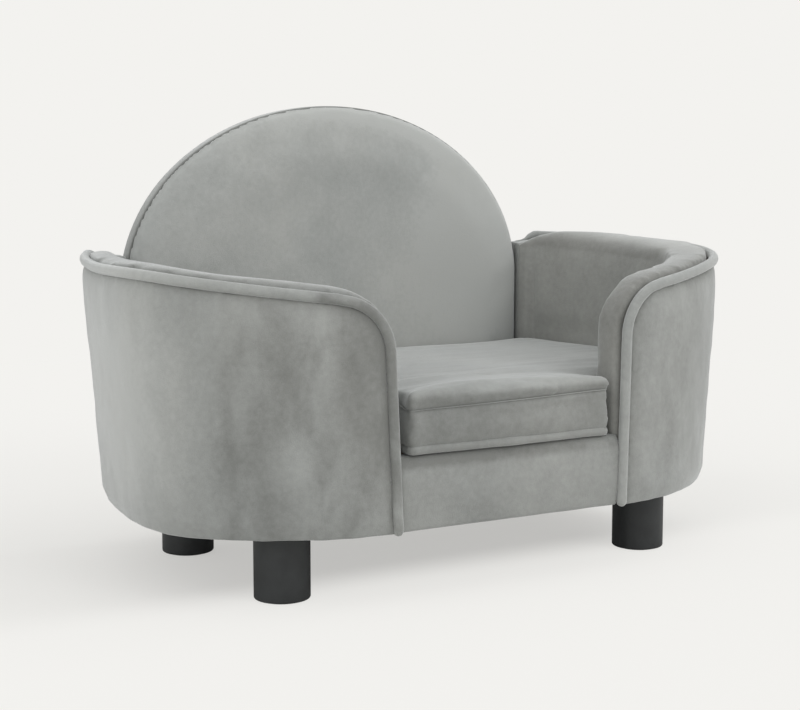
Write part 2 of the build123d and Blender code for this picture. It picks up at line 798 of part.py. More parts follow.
def build_parts():
    parts = {}
    base, deck, rail, bearers = frame_pieces()
    board, band, panel, foam, cover = back_pieces()
    right_board = arm_board()
    right_post = arm_post()
    arm_foam, arm_inner = arm_layers()
    bearer_places = {"left": -bearer_x, "center": 0.0, "right": bearer_x}
    screw_z = (base_board_top_z + deck_low_z) / 2

    rail_spots = [facing((x, rail_front_y, screw_z), (0, -1, 0)) for x in bearer_places.values()]
    back_spots = [facing((x, back_board_rear_y, screw_z), (0, 1, 0)) for x in bearer_places.values()]
    deck_spots = []
    for x in bearer_places.values():
        for y in (rail_rear_y + deck_screw_inset, back_board_front_y - deck_screw_inset):
            deck_spots.append(Location((x, y, deck_top_z)))
    for spot in rail_spots:
        rail -= spot * wood_screw(running_gap)
    for spot in back_spots:
        board -= spot * back_bolt_room()
    for spot in deck_spots:
        deck -= spot * wood_screw(running_gap)
    for name, bearer in bearers.items():
        for spot in rail_spots + deck_spots:
            bearer = bearer - spot * wood_screw(running_gap)
        for spot in back_spots:
            bearer = bearer - spot * back_bolt_room()
        parts["bearer_" + name] = bearer

    arm_spots = []
    head_inset = board_inset + screw_sink
    for z in ((base_board_low_z + base_board_top_z) / 2, (deck_low_z + deck_top_z) / 2):
        oval = oval_at(z)
        for (centre, radius, _, _), angle in zip(oval_arcs(oval)[1:], base_screw_angles):
            x, y = arc_point(centre, radius - head_inset, angle)
            outward = (cos(radians(angle)), sin(radians(angle)), 0)
            arm_spots.append(facing((x, y, z), outward))
    post_y = (post_front_y + back_board_rear_y) / 2
    post_top_z = outline_top_z(-fit_gap, back_half_width, post_front_y)
    for share in post_screw_height_shares:
        z = base_board_top_z + (post_top_z - base_board_top_z) * share
        oval = oval_at(z)
        centre, radius, _, _ = oval_arcs(oval)[2]
        angle = end_angle(oval, head_inset, post_y)
        x, y = arc_point(centre, radius - head_inset, angle)
        slant_sink = screw_head_radius * tan(radians(angle))
        arm_spots.append(facing((x - slant_sink, y, z), (1, 0, 0)))
    right_screws = [spot * wood_screw() for spot in arm_spots]
    sunk_head = Pos(0, 0, overrun / 2) * Cylinder(screw_head_radius + running_gap, overrun)
    for spot in arm_spots:
        room = spot * (wood_screw(running_gap) + sunk_head)
        both_rooms = both_sides(room)
        right_board -= room
        right_post -= room
        base -= both_rooms
        deck -= both_rooms
        board -= both_rooms
        band -= both_rooms

    leg_spots = {
        "front_left": (-leg_x, leg_front_y),
        "front_right": (leg_x, leg_front_y),
        "rear_left": (-leg_x, leg_rear_y),
        "rear_right": (leg_x, leg_rear_y),
    }
    half_dust = half_plan(underside_z, dust_cover_inset, rear_y - dust_cover_inset)
    dust = both_sides(extrude(half_dust, amount=dust_cloth, dir=(0, 0, -1)))
    bolts = []
    nuts = []
    for name, (x, y) in leg_spots.items():
        spot = Pos(x, y, 0)
        parts["leg_" + name] = spot * leg()
        parts["glide_" + name] = spot * glide()
        bolts.append(spot * leg_bolt())
        nuts.append(spot * tee_nut())
        base -= spot * drill(tee_barrel_radius + running_gap, 0, base_board_top_z)
        dust -= spot * drill(bolt_radius + running_gap, 0, base_board_top_z)

    parts["dust_cover"] = dust
    parts["base_board"] = base
    parts["seat_deck"] = deck
    parts["front_rail"] = rail
    parts["front_rail_padding"] = rail_pad()
    parts["front_rail_cover"] = rail_cloth()
    parts["back_board"] = board
    parts["back_foam"] = foam
    parts["back_front_cover"] = cover
    parts["back_edge_band"] = band
    parts["back_rear_cover"] = panel
    parts["leg_bolts"] = bolts
    parts["tee_nuts"] = nuts
    parts["rail_screws"] = [spot * wood_screw() for spot in rail_spots]
    parts["deck_screws"] = [spot * wood_screw() for spot in deck_spots]
    parts["back_bolts"] = [spot * back_bolt() for spot in back_spots]
    parts["back_washers"] = [spot * washer() for spot in back_spots]

    arm_parts = {
        "arm_board": right_board,
        "arm_post": right_post,
        "arm_foam": arm_foam,
        "arm_inner_cover": arm_inner,
        "arm_outer_cover": arm_outer_cover(),
        "arm_cap": arm_cap(),
        "arm_welt": arm_welt(),
    }
    for name, solid in arm_parts.items():
        parts[name + "_right"] = solid
        parts[name + "_left"] = mirror(solid, about=Plane.YZ)
    parts["arm_screws_right"] = right_screws
    parts["arm_screws_left"] = [mirror(screw, about=Plane.YZ) for screw in right_screws]

    foam, bottom, side_band, top, lower_z, upper_z = cushion_pieces()
    parts["cushion_foam"] = foam - zip_slot(fabric + foam_channel_depth)
    parts["cushion_bottom_panel"] = bottom
    parts["cushion_side_band"] = side_band - zip_slot(2 * fabric)
    parts["cushion_top_panel"] = top
    parts["cushion_bottom_welt"] = seam_ridge(lower_z, cushion_welt_radius, cushion_welt_out)
    parts["cushion_top_seam"] = seam_ridge(upper_z, cushion_seam_half_width, cushion_seam_out)
    parts["zip_tapes"] = zip_tapes()
    slider, pull = zip_slider()
    parts["zip_slider"] = slider
    parts["zip_pull"] = pull
    return parts


def main():
    os.makedirs("parts", exist_ok=True)
    for name, shape in build_parts().items():
        if isinstance(shape, list):
            shape = Compound(children=[piece.solid() for piece in shape])
        export_step(shape, os.path.join("parts", name + ".step"))


main()
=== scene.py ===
# %% [markdown]
# # A small velvet sofa bed
# This lesson dresses a finished frame: a tub-shaped sofa bed for a dog, with two curved padded arms,
# an arched backrest, a loose seat cushion and four short round legs. The frame holds every board,
# screw and joint at its real size. What is made here is what the eye meets: velvet, padding and
# piping. All lengths are in metres, the front faces -Y, Z is up, and the floor is at zero.

# %% Load the frame
import json
from collections import namedtuple
from math import asin, atan, atan2, ceil, cos, exp, hypot, pi, radians, sin, sqrt, tan, tanh

import bmesh
import bpy
from mathutils import Matrix, Vector, noise


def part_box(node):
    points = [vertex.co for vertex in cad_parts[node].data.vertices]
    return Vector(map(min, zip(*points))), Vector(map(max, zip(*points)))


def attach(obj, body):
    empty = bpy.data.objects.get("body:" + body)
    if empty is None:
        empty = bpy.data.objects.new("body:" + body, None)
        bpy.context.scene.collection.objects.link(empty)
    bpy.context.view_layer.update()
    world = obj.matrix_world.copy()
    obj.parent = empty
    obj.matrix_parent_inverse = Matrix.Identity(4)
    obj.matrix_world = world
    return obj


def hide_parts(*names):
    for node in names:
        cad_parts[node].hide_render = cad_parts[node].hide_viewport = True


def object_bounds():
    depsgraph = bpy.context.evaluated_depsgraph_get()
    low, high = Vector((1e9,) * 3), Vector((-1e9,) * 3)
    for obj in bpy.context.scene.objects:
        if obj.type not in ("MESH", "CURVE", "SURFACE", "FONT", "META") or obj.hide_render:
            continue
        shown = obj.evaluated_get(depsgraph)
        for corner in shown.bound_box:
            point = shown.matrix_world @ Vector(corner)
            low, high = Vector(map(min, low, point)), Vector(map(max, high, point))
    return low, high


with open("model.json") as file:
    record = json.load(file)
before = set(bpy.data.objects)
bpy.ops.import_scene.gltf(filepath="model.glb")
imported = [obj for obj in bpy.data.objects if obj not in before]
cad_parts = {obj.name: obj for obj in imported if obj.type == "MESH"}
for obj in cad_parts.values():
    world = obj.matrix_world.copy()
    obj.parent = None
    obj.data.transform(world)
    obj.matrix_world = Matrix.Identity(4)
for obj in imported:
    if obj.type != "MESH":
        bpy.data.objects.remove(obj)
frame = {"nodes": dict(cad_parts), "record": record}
cad_low, cad_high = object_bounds()
nodes = frame["nodes"]
scene = bpy.context.scene
print("frame size in mm", [round(1000 * side) for side in cad_high - cad_low])

# %% [markdown]
# ## Camera
# The photograph was taken from the left, a little above the arms, with a long lens. The place, the
# direction and the lens were worked out from the rings of the legs, the line of the underside and
# the arch of the backrest. A camera looks along its own -Z, so one call turns that axis to the
# viewing direction and keeps the horizon level.

# %% Camera
camera_place = Vector((-0.84489, -1.40411, 0.39095))
camera_turn = radians(30.575)
camera_drop = radians(6.936)
camera_lens = 76.354

level = cos(camera_drop)
sight = Vector((sin(camera_turn) * level, cos(camera_turn) * level, -sin(camera_drop)))
camera_data = bpy.data.cameras.new("camera")
camera_data.lens = camera_lens
camera = bpy.data.objects.new("camera", camera_data)
camera.location = camera_place
camera.rotation_mode = "QUATERNION"
camera.rotation_quaternion = sight.to_track_quat("-Z", "Y")
scene.collection.objects.link(camera)
scene.camera = camera
print("camera looks along", [round(part, 3) for part in sight])

# %% [markdown]
# ## Shader values as Python numbers
# A material is a graph of nodes. Wiring it by hand hides the idea behind it, so one small class
# wraps a socket and lets it be added and multiplied like a number. Every sum then adds one Math
# node. All other nodes come from one method, which takes the type of the node, its settings and the
# values or links of its inputs. A few helpers give the nodes that most finishes share.

# %% A wire between shader nodes
class Wire:
    """The output of a shader node, which can be used in sums like a number."""

    def __init__(self, tree, socket):
        self.tree = tree
        self.socket = socket

    def add(self, kind, settings, inputs, output=0):
        """Adds a shader node of that type and returns one of its outputs."""
        node = self.tree.nodes.new("ShaderNode" + kind)
        for name, value in settings.items():
            if name == "stops":
                fill_ramp(node.color_ramp, value)
            else:
                setattr(node, name, value)
        for name, value in inputs.items():
            if isinstance(value, Wire):
                self.tree.links.new(value.socket, node.inputs[name])
            else:
                node.inputs[name].default_value = value
        return Wire(self.tree, node.outputs[output])

    def math(self, operation, first, second):
        return self.add("Math", {"operation": operation}, {0: first, 1: second})

    def __add__(self, other):
        return self.math("ADD", self, other)

    def __radd__(self, other):
        return self.math("ADD", other, self)

    def __sub__(self, other):
        return self.math("SUBTRACT", self, other)

    def __rsub__(self, other):
        return self.math("SUBTRACT", other, self)

    def __mul__(self, other):
        return self.math("MULTIPLY", self, other)

    def __rmul__(self, other):
        return self.math("MULTIPLY", other, self)


def fill_ramp(ramp, stops):
    """Gives a colour ramp its stops, each a position and a colour."""
    while len(ramp.elements) < len(stops):
        ramp.elements.new(1.0)
    for element, (position, colour) in zip(ramp.elements, stops):
        element.position = position
        element.color = (*colour, 1.0)


def empty_tree(owner, output):
    """Empties the node tree of a material or world, and returns a wire to its new output."""
    owner.use_nodes = True
    tree = owner.node_tree
    tree.nodes.clear()
    return Wire(tree, tree.nodes.new(output).inputs["Surface"])


def surface(end, shader):
    """Connects a shader to the output."""
    end.tree.links.new(shader.socket, end.socket)


# %% Nodes that most finishes share
def coordinates(end):
    return end.add("TexCoord", {}, {}, "Object")


def rising(value, low, high, top=1.0):
    """Rises smoothly from 0 where the value is low to top where it is high."""
    inputs = {"Value": value, "From Min": low, "From Max": high, "To Max": top}
    return value.add("MapRange", {"interpolation_type": "SMOOTHSTEP"}, inputs)


def speckle(place, scale, detail, twist=0.0):
    inputs = {"Vector": place, "Scale": scale, "Detail": detail, "Distortion": twist}
    return place.add("TexNoise", {}, inputs)


def colours(share, *stops):
    return share.add("ValToRGB", {"stops": stops}, {"Fac": share})


def bump(height, strength, distance):
    return height.add("Bump", {}, {"Height": height, "Strength": strength, "Distance": distance})


def finish_of(name, recipe):
    """A new material. The recipe gives the shader's inputs from a place on the object."""
    material = bpy.data.materials.new(name)
    end = empty_tree(material, "ShaderNodeOutputMaterial")
    surface(end, end.add("BsdfPrincipled", {}, recipe(coordinates(end))))
    return material


# %% [markdown]
# ## Floor, background and light
# The picture was taken on a pale sweep: floor and background have one colour, and only a soft shadow
# tells where the floor is. The floor is a wide plane whose own glow, seen by the camera alone, fills
# it up to that colour. The rest of its brightness is light that it really gets, so the shadow stays.
# In front of the body the shadow is fainter, as it is in the photograph, so the glow grows there.
# The light is three wide, soft suns, from the right, the left and the front, and an even grey sky,
# which together are about as bright as a colour needs to render as it is written.

# %% Floor and sky
pale_grey = (0.896, 0.888, 0.863, 1.0)
white = (1.0, 1.0, 1.0, 1.0)
floor_reach = 60.0
floor_seen = (0.395, 0.392, 0.381, 1.0)
floor_bounce = (0.75, 0.745, 0.725, 1.0)
floor_glow_share = 0.55
plain_reach = (0.7, 1.6)
front_glow_y = (-0.03, -0.12)
front_glow_share = 0.6
sky_strength = 0.68


def lit_floor():
    material = bpy.data.materials.new("pale_floor")
    end = empty_tree(material, "ShaderNodeOutputMaterial")
    place = coordinates(end)
    bounce = end.add("BsdfDiffuse", {}, {"Color": floor_bounce})
    lit = end.add("BsdfDiffuse", {}, {"Color": floor_seen})
    glow = end.add("Emission", {}, {"Color": pale_grey, "Strength": floor_glow_share})
    plain = end.add("Emission", {}, {"Color": pale_grey, "Strength": 1.0})
    near = end.add("AddShader", {}, {0: lit, 1: glow})
    away = end.add("VectorMath", {"operation": "LENGTH"}, {0: place}, "Value")
    ahead = end.add("SeparateXYZ", {}, {"Vector": place}, "Y")
    # In front of the body the camera sees more glow: painted light that thins the shadow there.
    share = end.math("MAXIMUM", rising(away, *plain_reach), rising(ahead, *front_glow_y, front_glow_share))
    seen = end.add("MixShader", {}, {0: share, 1: near, 2: plain})
    ray = end.add("LightPath", {}, {}, "Is Camera Ray")
    surface(end, end.add("MixShader", {}, {0: ray, 1: bounce, 2: seen}))
    return material


floor_mesh = bmesh.new()
bmesh.ops.create_grid(floor_mesh, x_segments=1, y_segments=1, size=floor_reach)
floor_data = bpy.data.meshes.new("floor")
floor_mesh.to_mesh(floor_data)
floor_mesh.free()
floor_data.materials.append(lit_floor())
floor = bpy.data.objects.new("floor", floor_data)
scene.collection.objects.link(floor)

world = bpy.data.worlds.new("sky")
sky_end = empty_tree(world, "ShaderNodeOutputWorld")
backdrop = sky_end.add("Background", {}, {"Color": pale_grey, "Strength": 1.0})
sky = sky_end.add("Background", {}, {"Color": white, "Strength": sky_strength})
camera_ray = sky_end.add("LightPath", {}, {}, "Is Camera Ray")
surface(sky_end, sky_end.add("MixShader", {}, {0: camera_ray, 1: sky, 2: backdrop}))
scene.world = world


# %% Lamps
def soft_sun(name, turn, height, strength, spread):
    """A wide sun that shines from a direction: degrees round from the front, and above the floor."""
    lamp_data = bpy.data.lights.new(name, "SUN")
    lamp_data.energy = strength
    lamp_data.angle = radians(spread)
    lamp = bpy.data.objects.new(name, lamp_data)
    turn, height = radians(turn), radians(height)
    towards = Vector((sin(turn) * cos(height), -cos(turn) * cos(height), sin(height)))
    lamp.rotation_mode = "QUATERNION"
    lamp.rotation_quaternion = towards.to_track_quat("Z", "Y")
    scene.collection.objects.link(lamp)


soft_sun("right", 72.0, 46.0, 0.75, 45.0)
soft_sun("left", -75.0, 30.0, 0.60, 60.0)
soft_sun("front", 20.0, 32.0, 0.45, 30.0)

scene.view_settings.view_transform = "Standard"

# %% [markdown]
# ## Velvet
# Velvet is a short upright pile. Seen along the pile it is dark, and seen across it, at the edges of
# every rounding, it shines: that is the shader's sheen. Where a hand has brushed the pile it lies
# over, and the colour turns lighter, darker or a little warmer in soft-edged patches. Noise of four
# sizes gives the patches, the mottling, the flecks and the pile itself. A few listed marks add more
# such patches, and also painted light and shade. The pieces carry an attribute of painted shade
# along seams, in creases and under edges, and of painted highlights on roundings.

# %% Velvet
velvet_stops = (
    (0.0, (0.205, 0.213, 0.205)),
    (0.5, (0.330, 0.345, 0.338)),
    (1.0, (0.46, 0.48, 0.472)),
)
velvet_warm = (1.0, 0.965, 0.93, 1.0)
velvet_sheen = (0.83, 0.85, 0.85, 1.0)
mark_edge = (1.0, 0.15)
# Vertex attribute of painted shade in seams, creases and under edges, and of painted highlights.
shading_layer = "seam"
shading_darkness = 0.34


def soft_spot(place, middle, reach, wobble):
    """Soft-edged spot, 1 at its middle and 0 outside its reach."""
    offset = place.add("VectorMath", {"operation": "SUBTRACT"}, {0: place, 1: middle})
    share = place.add("VectorMath", {"operation": "DIVIDE"}, {0: offset, 1: reach})
    distance = place.add("VectorMath", {"operation": "LENGTH"}, {0: share}, "Value")
    return rising(distance + wobble, *mark_edge)


def velvet(name, marks=(), lightness=0.0, streak=(1.0, 1.0, 1.0), warmth=0.0):
    """Grey velvet. Marks paint brushed pile and light and shade: a middle, a reach and how much
    lighter.
    """

    def recipe(place):
        rubbed = place.add("Mapping", {}, {"Vector": place, "Scale": streak})
        patches = speckle(rubbed, 6.5, 2.0, 0.6) - 0.5
        mottling = speckle(rubbed, 34.0, 4.0, 0.4) - 0.5
        flecks = speckle(place, 190.0, 3.0) - 0.5
        pile = speckle(place, 1100.0, 2.0) - 0.5
        tone = patches * 0.70 + mottling * 0.38 + flecks * 0.34 + pile * 0.22 + (0.5 + lightness)
        # Each mark lightens or darkens a soft spot; the lists below say which ones paint light and
        # shade.
        for middle, reach, change in marks:
            tone = tone + soft_spot(place, middle, reach, mottling * 0.9) * change
        # Painted shade and light, read from the pieces.
        painted_shading = place.add("Attribute", {"attribute_name": shading_layer}, {}, "Fac")
        grey = colours(tone - painted_shading * shading_darkness, *velvet_stops)
        settings = {"data_type": "RGBA", "blend_type": "MULTIPLY"}
        inputs = {"Factor": patches * 0.9 + (0.5 + warmth), "A": grey, "B": velvet_warm}
        return {
            "Base Color": place.add("Mix", settings, inputs, "Result"),
            "Roughness": 0.92,
            "Specular IOR Level": 0.22,
            "Sheen Weight": 1.0,
            "Sheen Roughness": 0.40,
            "Sheen Tint": velvet_sheen,
            "Normal": bump(flecks * 0.5 + pile * 0.8 + mottling * 0.6, 0.35, 0.0012),
        }

    return finish_of(name, recipe)


plain_velvet = velvet("velvet")

# %% [markdown]
# ## Plain cloth, metal, lacquer and wood
# Finishes of the parts that show less: a matt woven cloth, whose fibres are noise; plated steel,
# whose cloudy polish is noise in its roughness; satin black lacquer, a little scuffed; and plain
# wood, whose grain is noise stretched along the board.

# %% Plain finishes
def plain_cloth(name, dark, light, scale):
    def recipe(place):
        fibre = speckle(place, scale, 5.0)
        colour = colours(fibre, (0.3, dark), (0.7, light))
        return {"Base Color": colour, "Roughness": 0.95, "Normal": bump(fibre, 0.4, 0.0006)}

    return finish_of(name, recipe)


def zinc(name, colour, roughness):
    def recipe(place):
        cloud = speckle(place, 300.0, 3.0)
        return {"Base Color": colour, "Metallic": 1.0, "Roughness": cloud * 0.2 + roughness}

    return finish_of(name, recipe)


def satin_black(place):
    scuff = speckle(place, 60.0, 4.0)
    peel = speckle(place, 420.0, 2.0)
    return {
        "Base Color": colours(scuff, (0.3, (0.021, 0.023, 0.0235)), (0.7, (0.032, 0.035, 0.0355))),
        "Roughness": scuff * 0.16 + 0.42,
        "Normal": bump(peel, 0.12, 0.0004),
    }


def wood(name, light, dark, along):
    def recipe(place):
        stretched = place.add("Mapping", {}, {"Vector": place, "Scale": along})
        grain = speckle(stretched, 30.0, 6.0, 0.8)
        fibre = speckle(stretched, 240.0, 2.0)
        colour = colours(grain * 0.75 + fibre * 0.25, (0.3, dark), (0.7, light))
        return {"Base Color": colour, "Roughness": 0.68, "Normal": bump(fibre, 0.2, 0.0005)}

    return finish_of(name, recipe)


# %% [markdown]
# ## Wall of the arms
# Both arms are parts of one flared wall. Seen from above, each side of it is a short straight, then
# a wide front arc, a tight side arc and a long rear arc, all tangent to one another. The plan at the
# rim is wider than at the foot, and between them it changes evenly. These few sizes are the ones
# that the frame was built from, and every cover and every piping is placed by them.

# %% Plan of the wall
Plan = namedtuple("Plan", "half_width straight front_y side_y side_radius rear_radius")
foot_plan = Plan(0.299, 0.106, -0.17664, -0.0335, 0.112, 0.450)
rim_plan = Plan(0.3145, 0.1005, -0.17364, -0.0315, 0.112, 0.450)
foot_z = 0.062
rim_z = 0.272
rear_y = 0.180


def plan_at(z):
    """The plan of the wall at height z."""
    share = (z - foot_z) / (rim_z - foot_z)
    return Plan(*[low + (high - low) * share for low, high in zip(foot_plan, rim_plan)])


def plan_arcs(plan):
    """Middle, radius, first and last angle of the front, side and rear arcs."""
    across = plan.half_width - plan.straight
    along = plan.side_y - plan.front_y
    spare = across**2 + along**2 - 2 * across * plan.side_radius
    front_radius = spare / (2 * (along - plan.side_radius))
    turn = atan2(along - front_radius, across - plan.side_radius)
    end = asin((rear_y - plan.side_y) / plan.rear_radius)
    front = ((plan.straight, plan.front_y + front_radius), front_radius, -pi / 2, turn)
    side = ((plan.half_width - plan.side_radius, plan.side_y), plan.side_radius, turn, 0.0)
    rear = ((plan.half_width - plan.rear_radius, plan.side_y), plan.rear_radius, 0.0, end)
    return front, side, rear


def wall_point(z, way, inset=0.0):
    """Place and outward direction on the wall. Way runs over the arcs: 0 to 1, 1 to 2 and 2 to 3."""
    arcs = plan_arcs(plan_at(z))
    number = min(int(way), len(arcs) - 1)
    (x, y), radius, first, last = arcs[number]
    angle = first + (last - first) * (way - number)
    outward = Vector((cos(angle), sin(angle), 0.0))
    return Vector((x, y, z)) + outward * (radius - inset), outward


def wall_depth(place):
    """How far a place on the right half lies inside the wall's face."""
    plan = plan_at(place.z)
    if place.x < plan.straight:
        return place.y - plan.front_y
    depths = []
    for (x, y), radius, first, last in plan_arcs(plan):
        if first <= atan2(place.y - y, place.x - x) <= last:
            depths.append(radius - hypot(place.x - x, place.y - y))
    return min(depths, default=plan.half_width)


print("wall reaches x =", round(wall_point(rim_z, 2.0)[0].x, 4))

# %% [markdown]
# ## Cutting cloth to an outline
# A cover is cut from a wider piece of cloth. Here it is the same: a fine grid is laid over the shape
# and trimmed by planes that touch the outline, one for each straight side and a fan of them round a
# corner. Because such an outline bulges outwards all the way round, the distance to the nearest
# plane is also the distance to the edge, and that is what the padding under the cloth follows.
# The arms' outline also rises a little from the front to the back, so its planes lean with it.

# %% Outline of an arm as planes
arm_edge_x = 0.125
arm_edge_lean = atan(0.037)
arm_top_x = 0.182
arm_top_z = 0.2615
arm_top_slope = atan(0.109)
arm_rise_share = 0.052
arm_corner_radius = 0.042
corner_cuts = 14


def arm_planes(outset=0.0):
    """Planes round the front edge, the rounded corner and the top of the right arm."""
    edge_away = Vector((-cos(arm_edge_lean), 0.0, sin(arm_edge_lean)))
    top_away = Vector((-sin(arm_top_slope), 0.0, cos(arm_top_slope)))
    edge_point = Vector((arm_edge_x, 0.0, foot_z))
    top_point = Vector((arm_top_x, 0.0, arm_top_z - arm_rise_share * foot_plan.front_y))
    edge_level = edge_point.dot(edge_away) - arm_corner_radius
    top_level = top_point.dot(top_away) - arm_corner_radius
    across = edge_away.x * top_away.z - edge_away.z * top_away.x
    middle_x = (edge_level * top_away.z - top_level * edge_away.z) / across
    middle_z = (edge_away.x * top_level - top_away.x * edge_level) / across
    middle = Vector((middle_x, 0.0, middle_z))
    first = pi - arm_edge_lean
    last = pi / 2 + arm_top_slope
    planes = []
    for cut in range(corner_cuts + 1):
        angle = first + (last - first) * cut / corner_cuts
        flat_away = Vector((cos(angle), 0.0, sin(angle)))
        away = Vector((cos(angle), -arm_rise_share * sin(angle), sin(angle))).normalized()
        planes.append((middle + flat_away * (arm_corner_radius + outset), away))
    return planes


def depth_inside(planes, place):
    """Distance from a place to the nearest of the planes, and 0 beyond them."""
    return max(min((point - place).dot(away) for point, away in planes), 0.0)


def trim(cloth, planes):
    """Cuts away what lies outside the planes."""
    for point, away in planes:
        cut = {"dist": 1e-6, "plane_co": point, "plane_no": away, "clear_outer": True}
        bmesh.ops.bisect_plane(cloth, geom=[*cloth.verts, *cloth.edges, *cloth.faces], **cut)


def cloth_grid(columns, rows, place):
    """A grid whose vertices are moved to place(across, up), where both run from 0 to 1."""
    cloth = bmesh.new()
    bmesh.ops.create_grid(cloth, x_segments=columns, y_segments=rows, size=0.5)
    for vert in cloth.verts:
        vert.co = place(vert.co.x + 0.5, vert.co.y + 0.5)
    return cloth


def smooth(cloth, verts, rounds, axes="xyz"):
    """Moves vertices towards the middle of their neighbours."""
    ways = {"use_axis_" + axis: True for axis in axes}
    for _ in range(rounds):
        bmesh.ops.smooth_vert(cloth, verts=verts, factor=0.5, **ways)


right_planes = arm_planes()


def arm_depth(place):
    """How far inside the outline of its arm a place is, on either side."""
    return depth_inside(right_planes, on_right(place))


def on_right(place):
    return Vector((abs(place.x), place.y, place.z))


print("planes round an arm:", len(right_planes))

# %% [markdown]
# ## From a bmesh to a piece
# Every piece ends the same way: its mesh becomes an object at the origin, shaded smooth, with its
# finish. It hangs on the part of the frame that it moves with, and the plain solids that it stands
# for are hidden.
# The left arm is the right one in a mirror. Mirroring turns faces inside out, so they are turned
# back, and a little noise afterwards keeps the two arms from being exact twins.

# %% Helpers for shapes
def over(share, low, high):
    """Rises smoothly from 0 at low to 1 at high."""
    share = min(max((share - low) / (high - low), 0.0), 1.0)
    return share * share * (3 - 2 * share)


def between(stops, share):
    """Value at share along a list of (share, value) stops."""
    for (low, low_value), (high, high_value) in zip(stops, stops[1:]):
        if share <= high:
            return low_value + (high_value - low_value) * (share - low) / (high - low)
    return stops[-1][1]


def noise_at(place, size, seed):
    """Smooth noise. Size is one length, or one for each axis."""
    sizes = size if isinstance(size, tuple) else (size,) * 3
    return noise.noise(Vector([part / length + seed for part, length in zip(place, sizes)]))


def ruffle(cloth, height, size, seed):
    """Moves the cloth in and out by smooth noise."""
    cloth.normal_update()
    for vert in cloth.verts:
        vert.co += vert.normal * height * noise_at(vert.co, size, seed)


def in_mirror(cloth):
    bmesh.ops.scale(cloth, vec=(-1.0, 1.0, 1.0), verts=cloth.verts)
    bmesh.ops.reverse_faces(cloth, faces=cloth.faces)


def paint_shading(cloth, nearness):
    """Writes painted shade at each vertex for the velvet; a value below 0 paints light instead."""
    layer = cloth.verts.layers.float.new(shading_layer)
    for vert in cloth.verts:
        vert[layer] = nearness(vert.co)


# %% Finishing a piece
velvet_thickness = 0.0012


def mesh_of(cloth, name):
    mesh = bpy.data.meshes.new(name)
    cloth.to_mesh(mesh)
    cloth.free()
    return mesh


def piece_of(mesh, name, finish, body, slot, *stood_for):
    """Object at the origin with its finish, the body that it moves with and what it replaces."""
    mesh.shade_smooth()
    mesh.materials.append(finish)
    piece = bpy.data.objects.new(name, mesh)
    scene.collection.objects.link(piece)
    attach(piece, body)
    if stood_for:
        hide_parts(*stood_for)
    print(name, len(mesh.polygons), "faces")
    return piece


def thicken(piece, thickness):
    """Gives a sheet its thickness, behind the face that shows."""
    solid = piece.modifiers.new("thickness", "SOLIDIFY")
    solid.thickness = thickness
    solid.offset = -1.0
    return solid


def velvet_sheet(cloth, name, finish, stood_for, flat, rests_on, held="stretched"):
    """Sheet of velvet on the frame, given its thickness."""
    piece = piece_of(mesh_of(cloth, name), name, finish, "frame", "velvet", stood_for)
    thicken(piece, velvet_thickness)


def velvet_pad(soft, name, finish, body, fill, *stood_for):
    """Padded piece of velvet on its body."""
    piece = piece_of(mesh_of(soft, name), name, finish, body, "velvet", *stood_for)


# %% [markdown]
# ## Outer covers of the arms
# The outside of each arm is one sheet of velvet over thin wadding on a bent board. It is held in the
# piping seam at the front and along the rim, where it dips, and it rises to a soft shoulder within a
# finger's width. It turns under the board at the bottom, and at the back it wraps round the post.
# A grid follows the wall's curves, and its first rows and last columns are the hem and the wrap.
# The rear half of the left arm's rim sits a little lower, so what is made there is let down.

# %% Outer covers
panel_cells = (150, 60)
panel_ways = ((0.0, -0.06), (0.235, 1.0), (0.38, 2.0), (0.915, 3.0))
panel_top_z = 0.296
hem_width = 0.016
hem_corner = 0.003
hem_shares = (0.05, 0.13)
hem_rise_z = (foot_z + 0.001, foot_z + 0.014)
panel_return = 0.036
straight_reach = 0.5
seam_dip = 0.0010
seam_allowance = 0.0016
seam_shade = 0.0045
shoulder_width = 0.0070
panel_fullness = 0.0042
corner_round = 0.008


def hem_place(up):
    """Inset and height on the hem, its rounded corner and the wall above it."""
    hem_end, corner_end = hem_shares
    if up < hem_end:
        return hem_corner + (hem_width - hem_corner) * (1 - up / hem_end), foot_z
    if up < corner_end:
        angle = pi / 2 * (up - hem_end) / (corner_end - hem_end)
        return hem_corner * (1 - sin(angle)), foot_z + hem_corner * (1 - cos(angle))
    low_z = foot_z + hem_corner
    return 0.0, low_z + (panel_top_z - low_z) * (up - corner_end) / (1 - corner_end)


def outer_place(across, up):
    """Point of the oversize cloth: hem, wall and wrap behind the post."""
    inset, z = hem_place(up)
    way = between(panel_ways, across)
    if way < 0:
        plan = plan_at(z)
        return Vector((plan.straight + way * straight_reach, plan.front_y + inset, z))
    place, _ = wall_point(z, way, inset)
    last_share = panel_ways[-1][0]
    place.x -= panel_return * max(across - last_share, 0.0) / (1 - last_share)
    return place


def outer_cover():
    """Cover of the right arm, trimmed to its outline, with its dip at the seam and its shoulder."""
    cloth = cloth_grid(*panel_cells, outer_place)
    trim(cloth, arm_planes(seam_allowance))
    cloth.normal_update()
    for vert in cloth.verts:
        rise = panel_fullness * (1 - exp(-arm_depth(vert.co) / shoulder_width)) - seam_dip
        vert.co += vert.normal * rise * over(vert.co.z, *hem_rise_z)
    smooth(cloth, [vert for vert in cloth.verts if vert.co.y > rear_y - corner_round], 5)
    # Painted shade along the piping seam.
    paint_shading(cloth, lambda place: exp(-arm_depth(place) / seam_shade))
    return cloth


# %% The two covers
rear_drop = {"left": 0.0055, "right": 0.0}
drop_y = (-0.09, 0.05)
drop_z = (0.215, 0.285)


def rim_drop(side, y):
    """How far an arm's rim is let down at depth y."""
    return rear_drop[side] * over(y, *drop_y)


def drop_at(side, place):
    """How far a place on an arm is let down: with its rim at the top, and not at all lower down."""
    return rim_drop(side, place.y) * over(place.z, *drop_z)
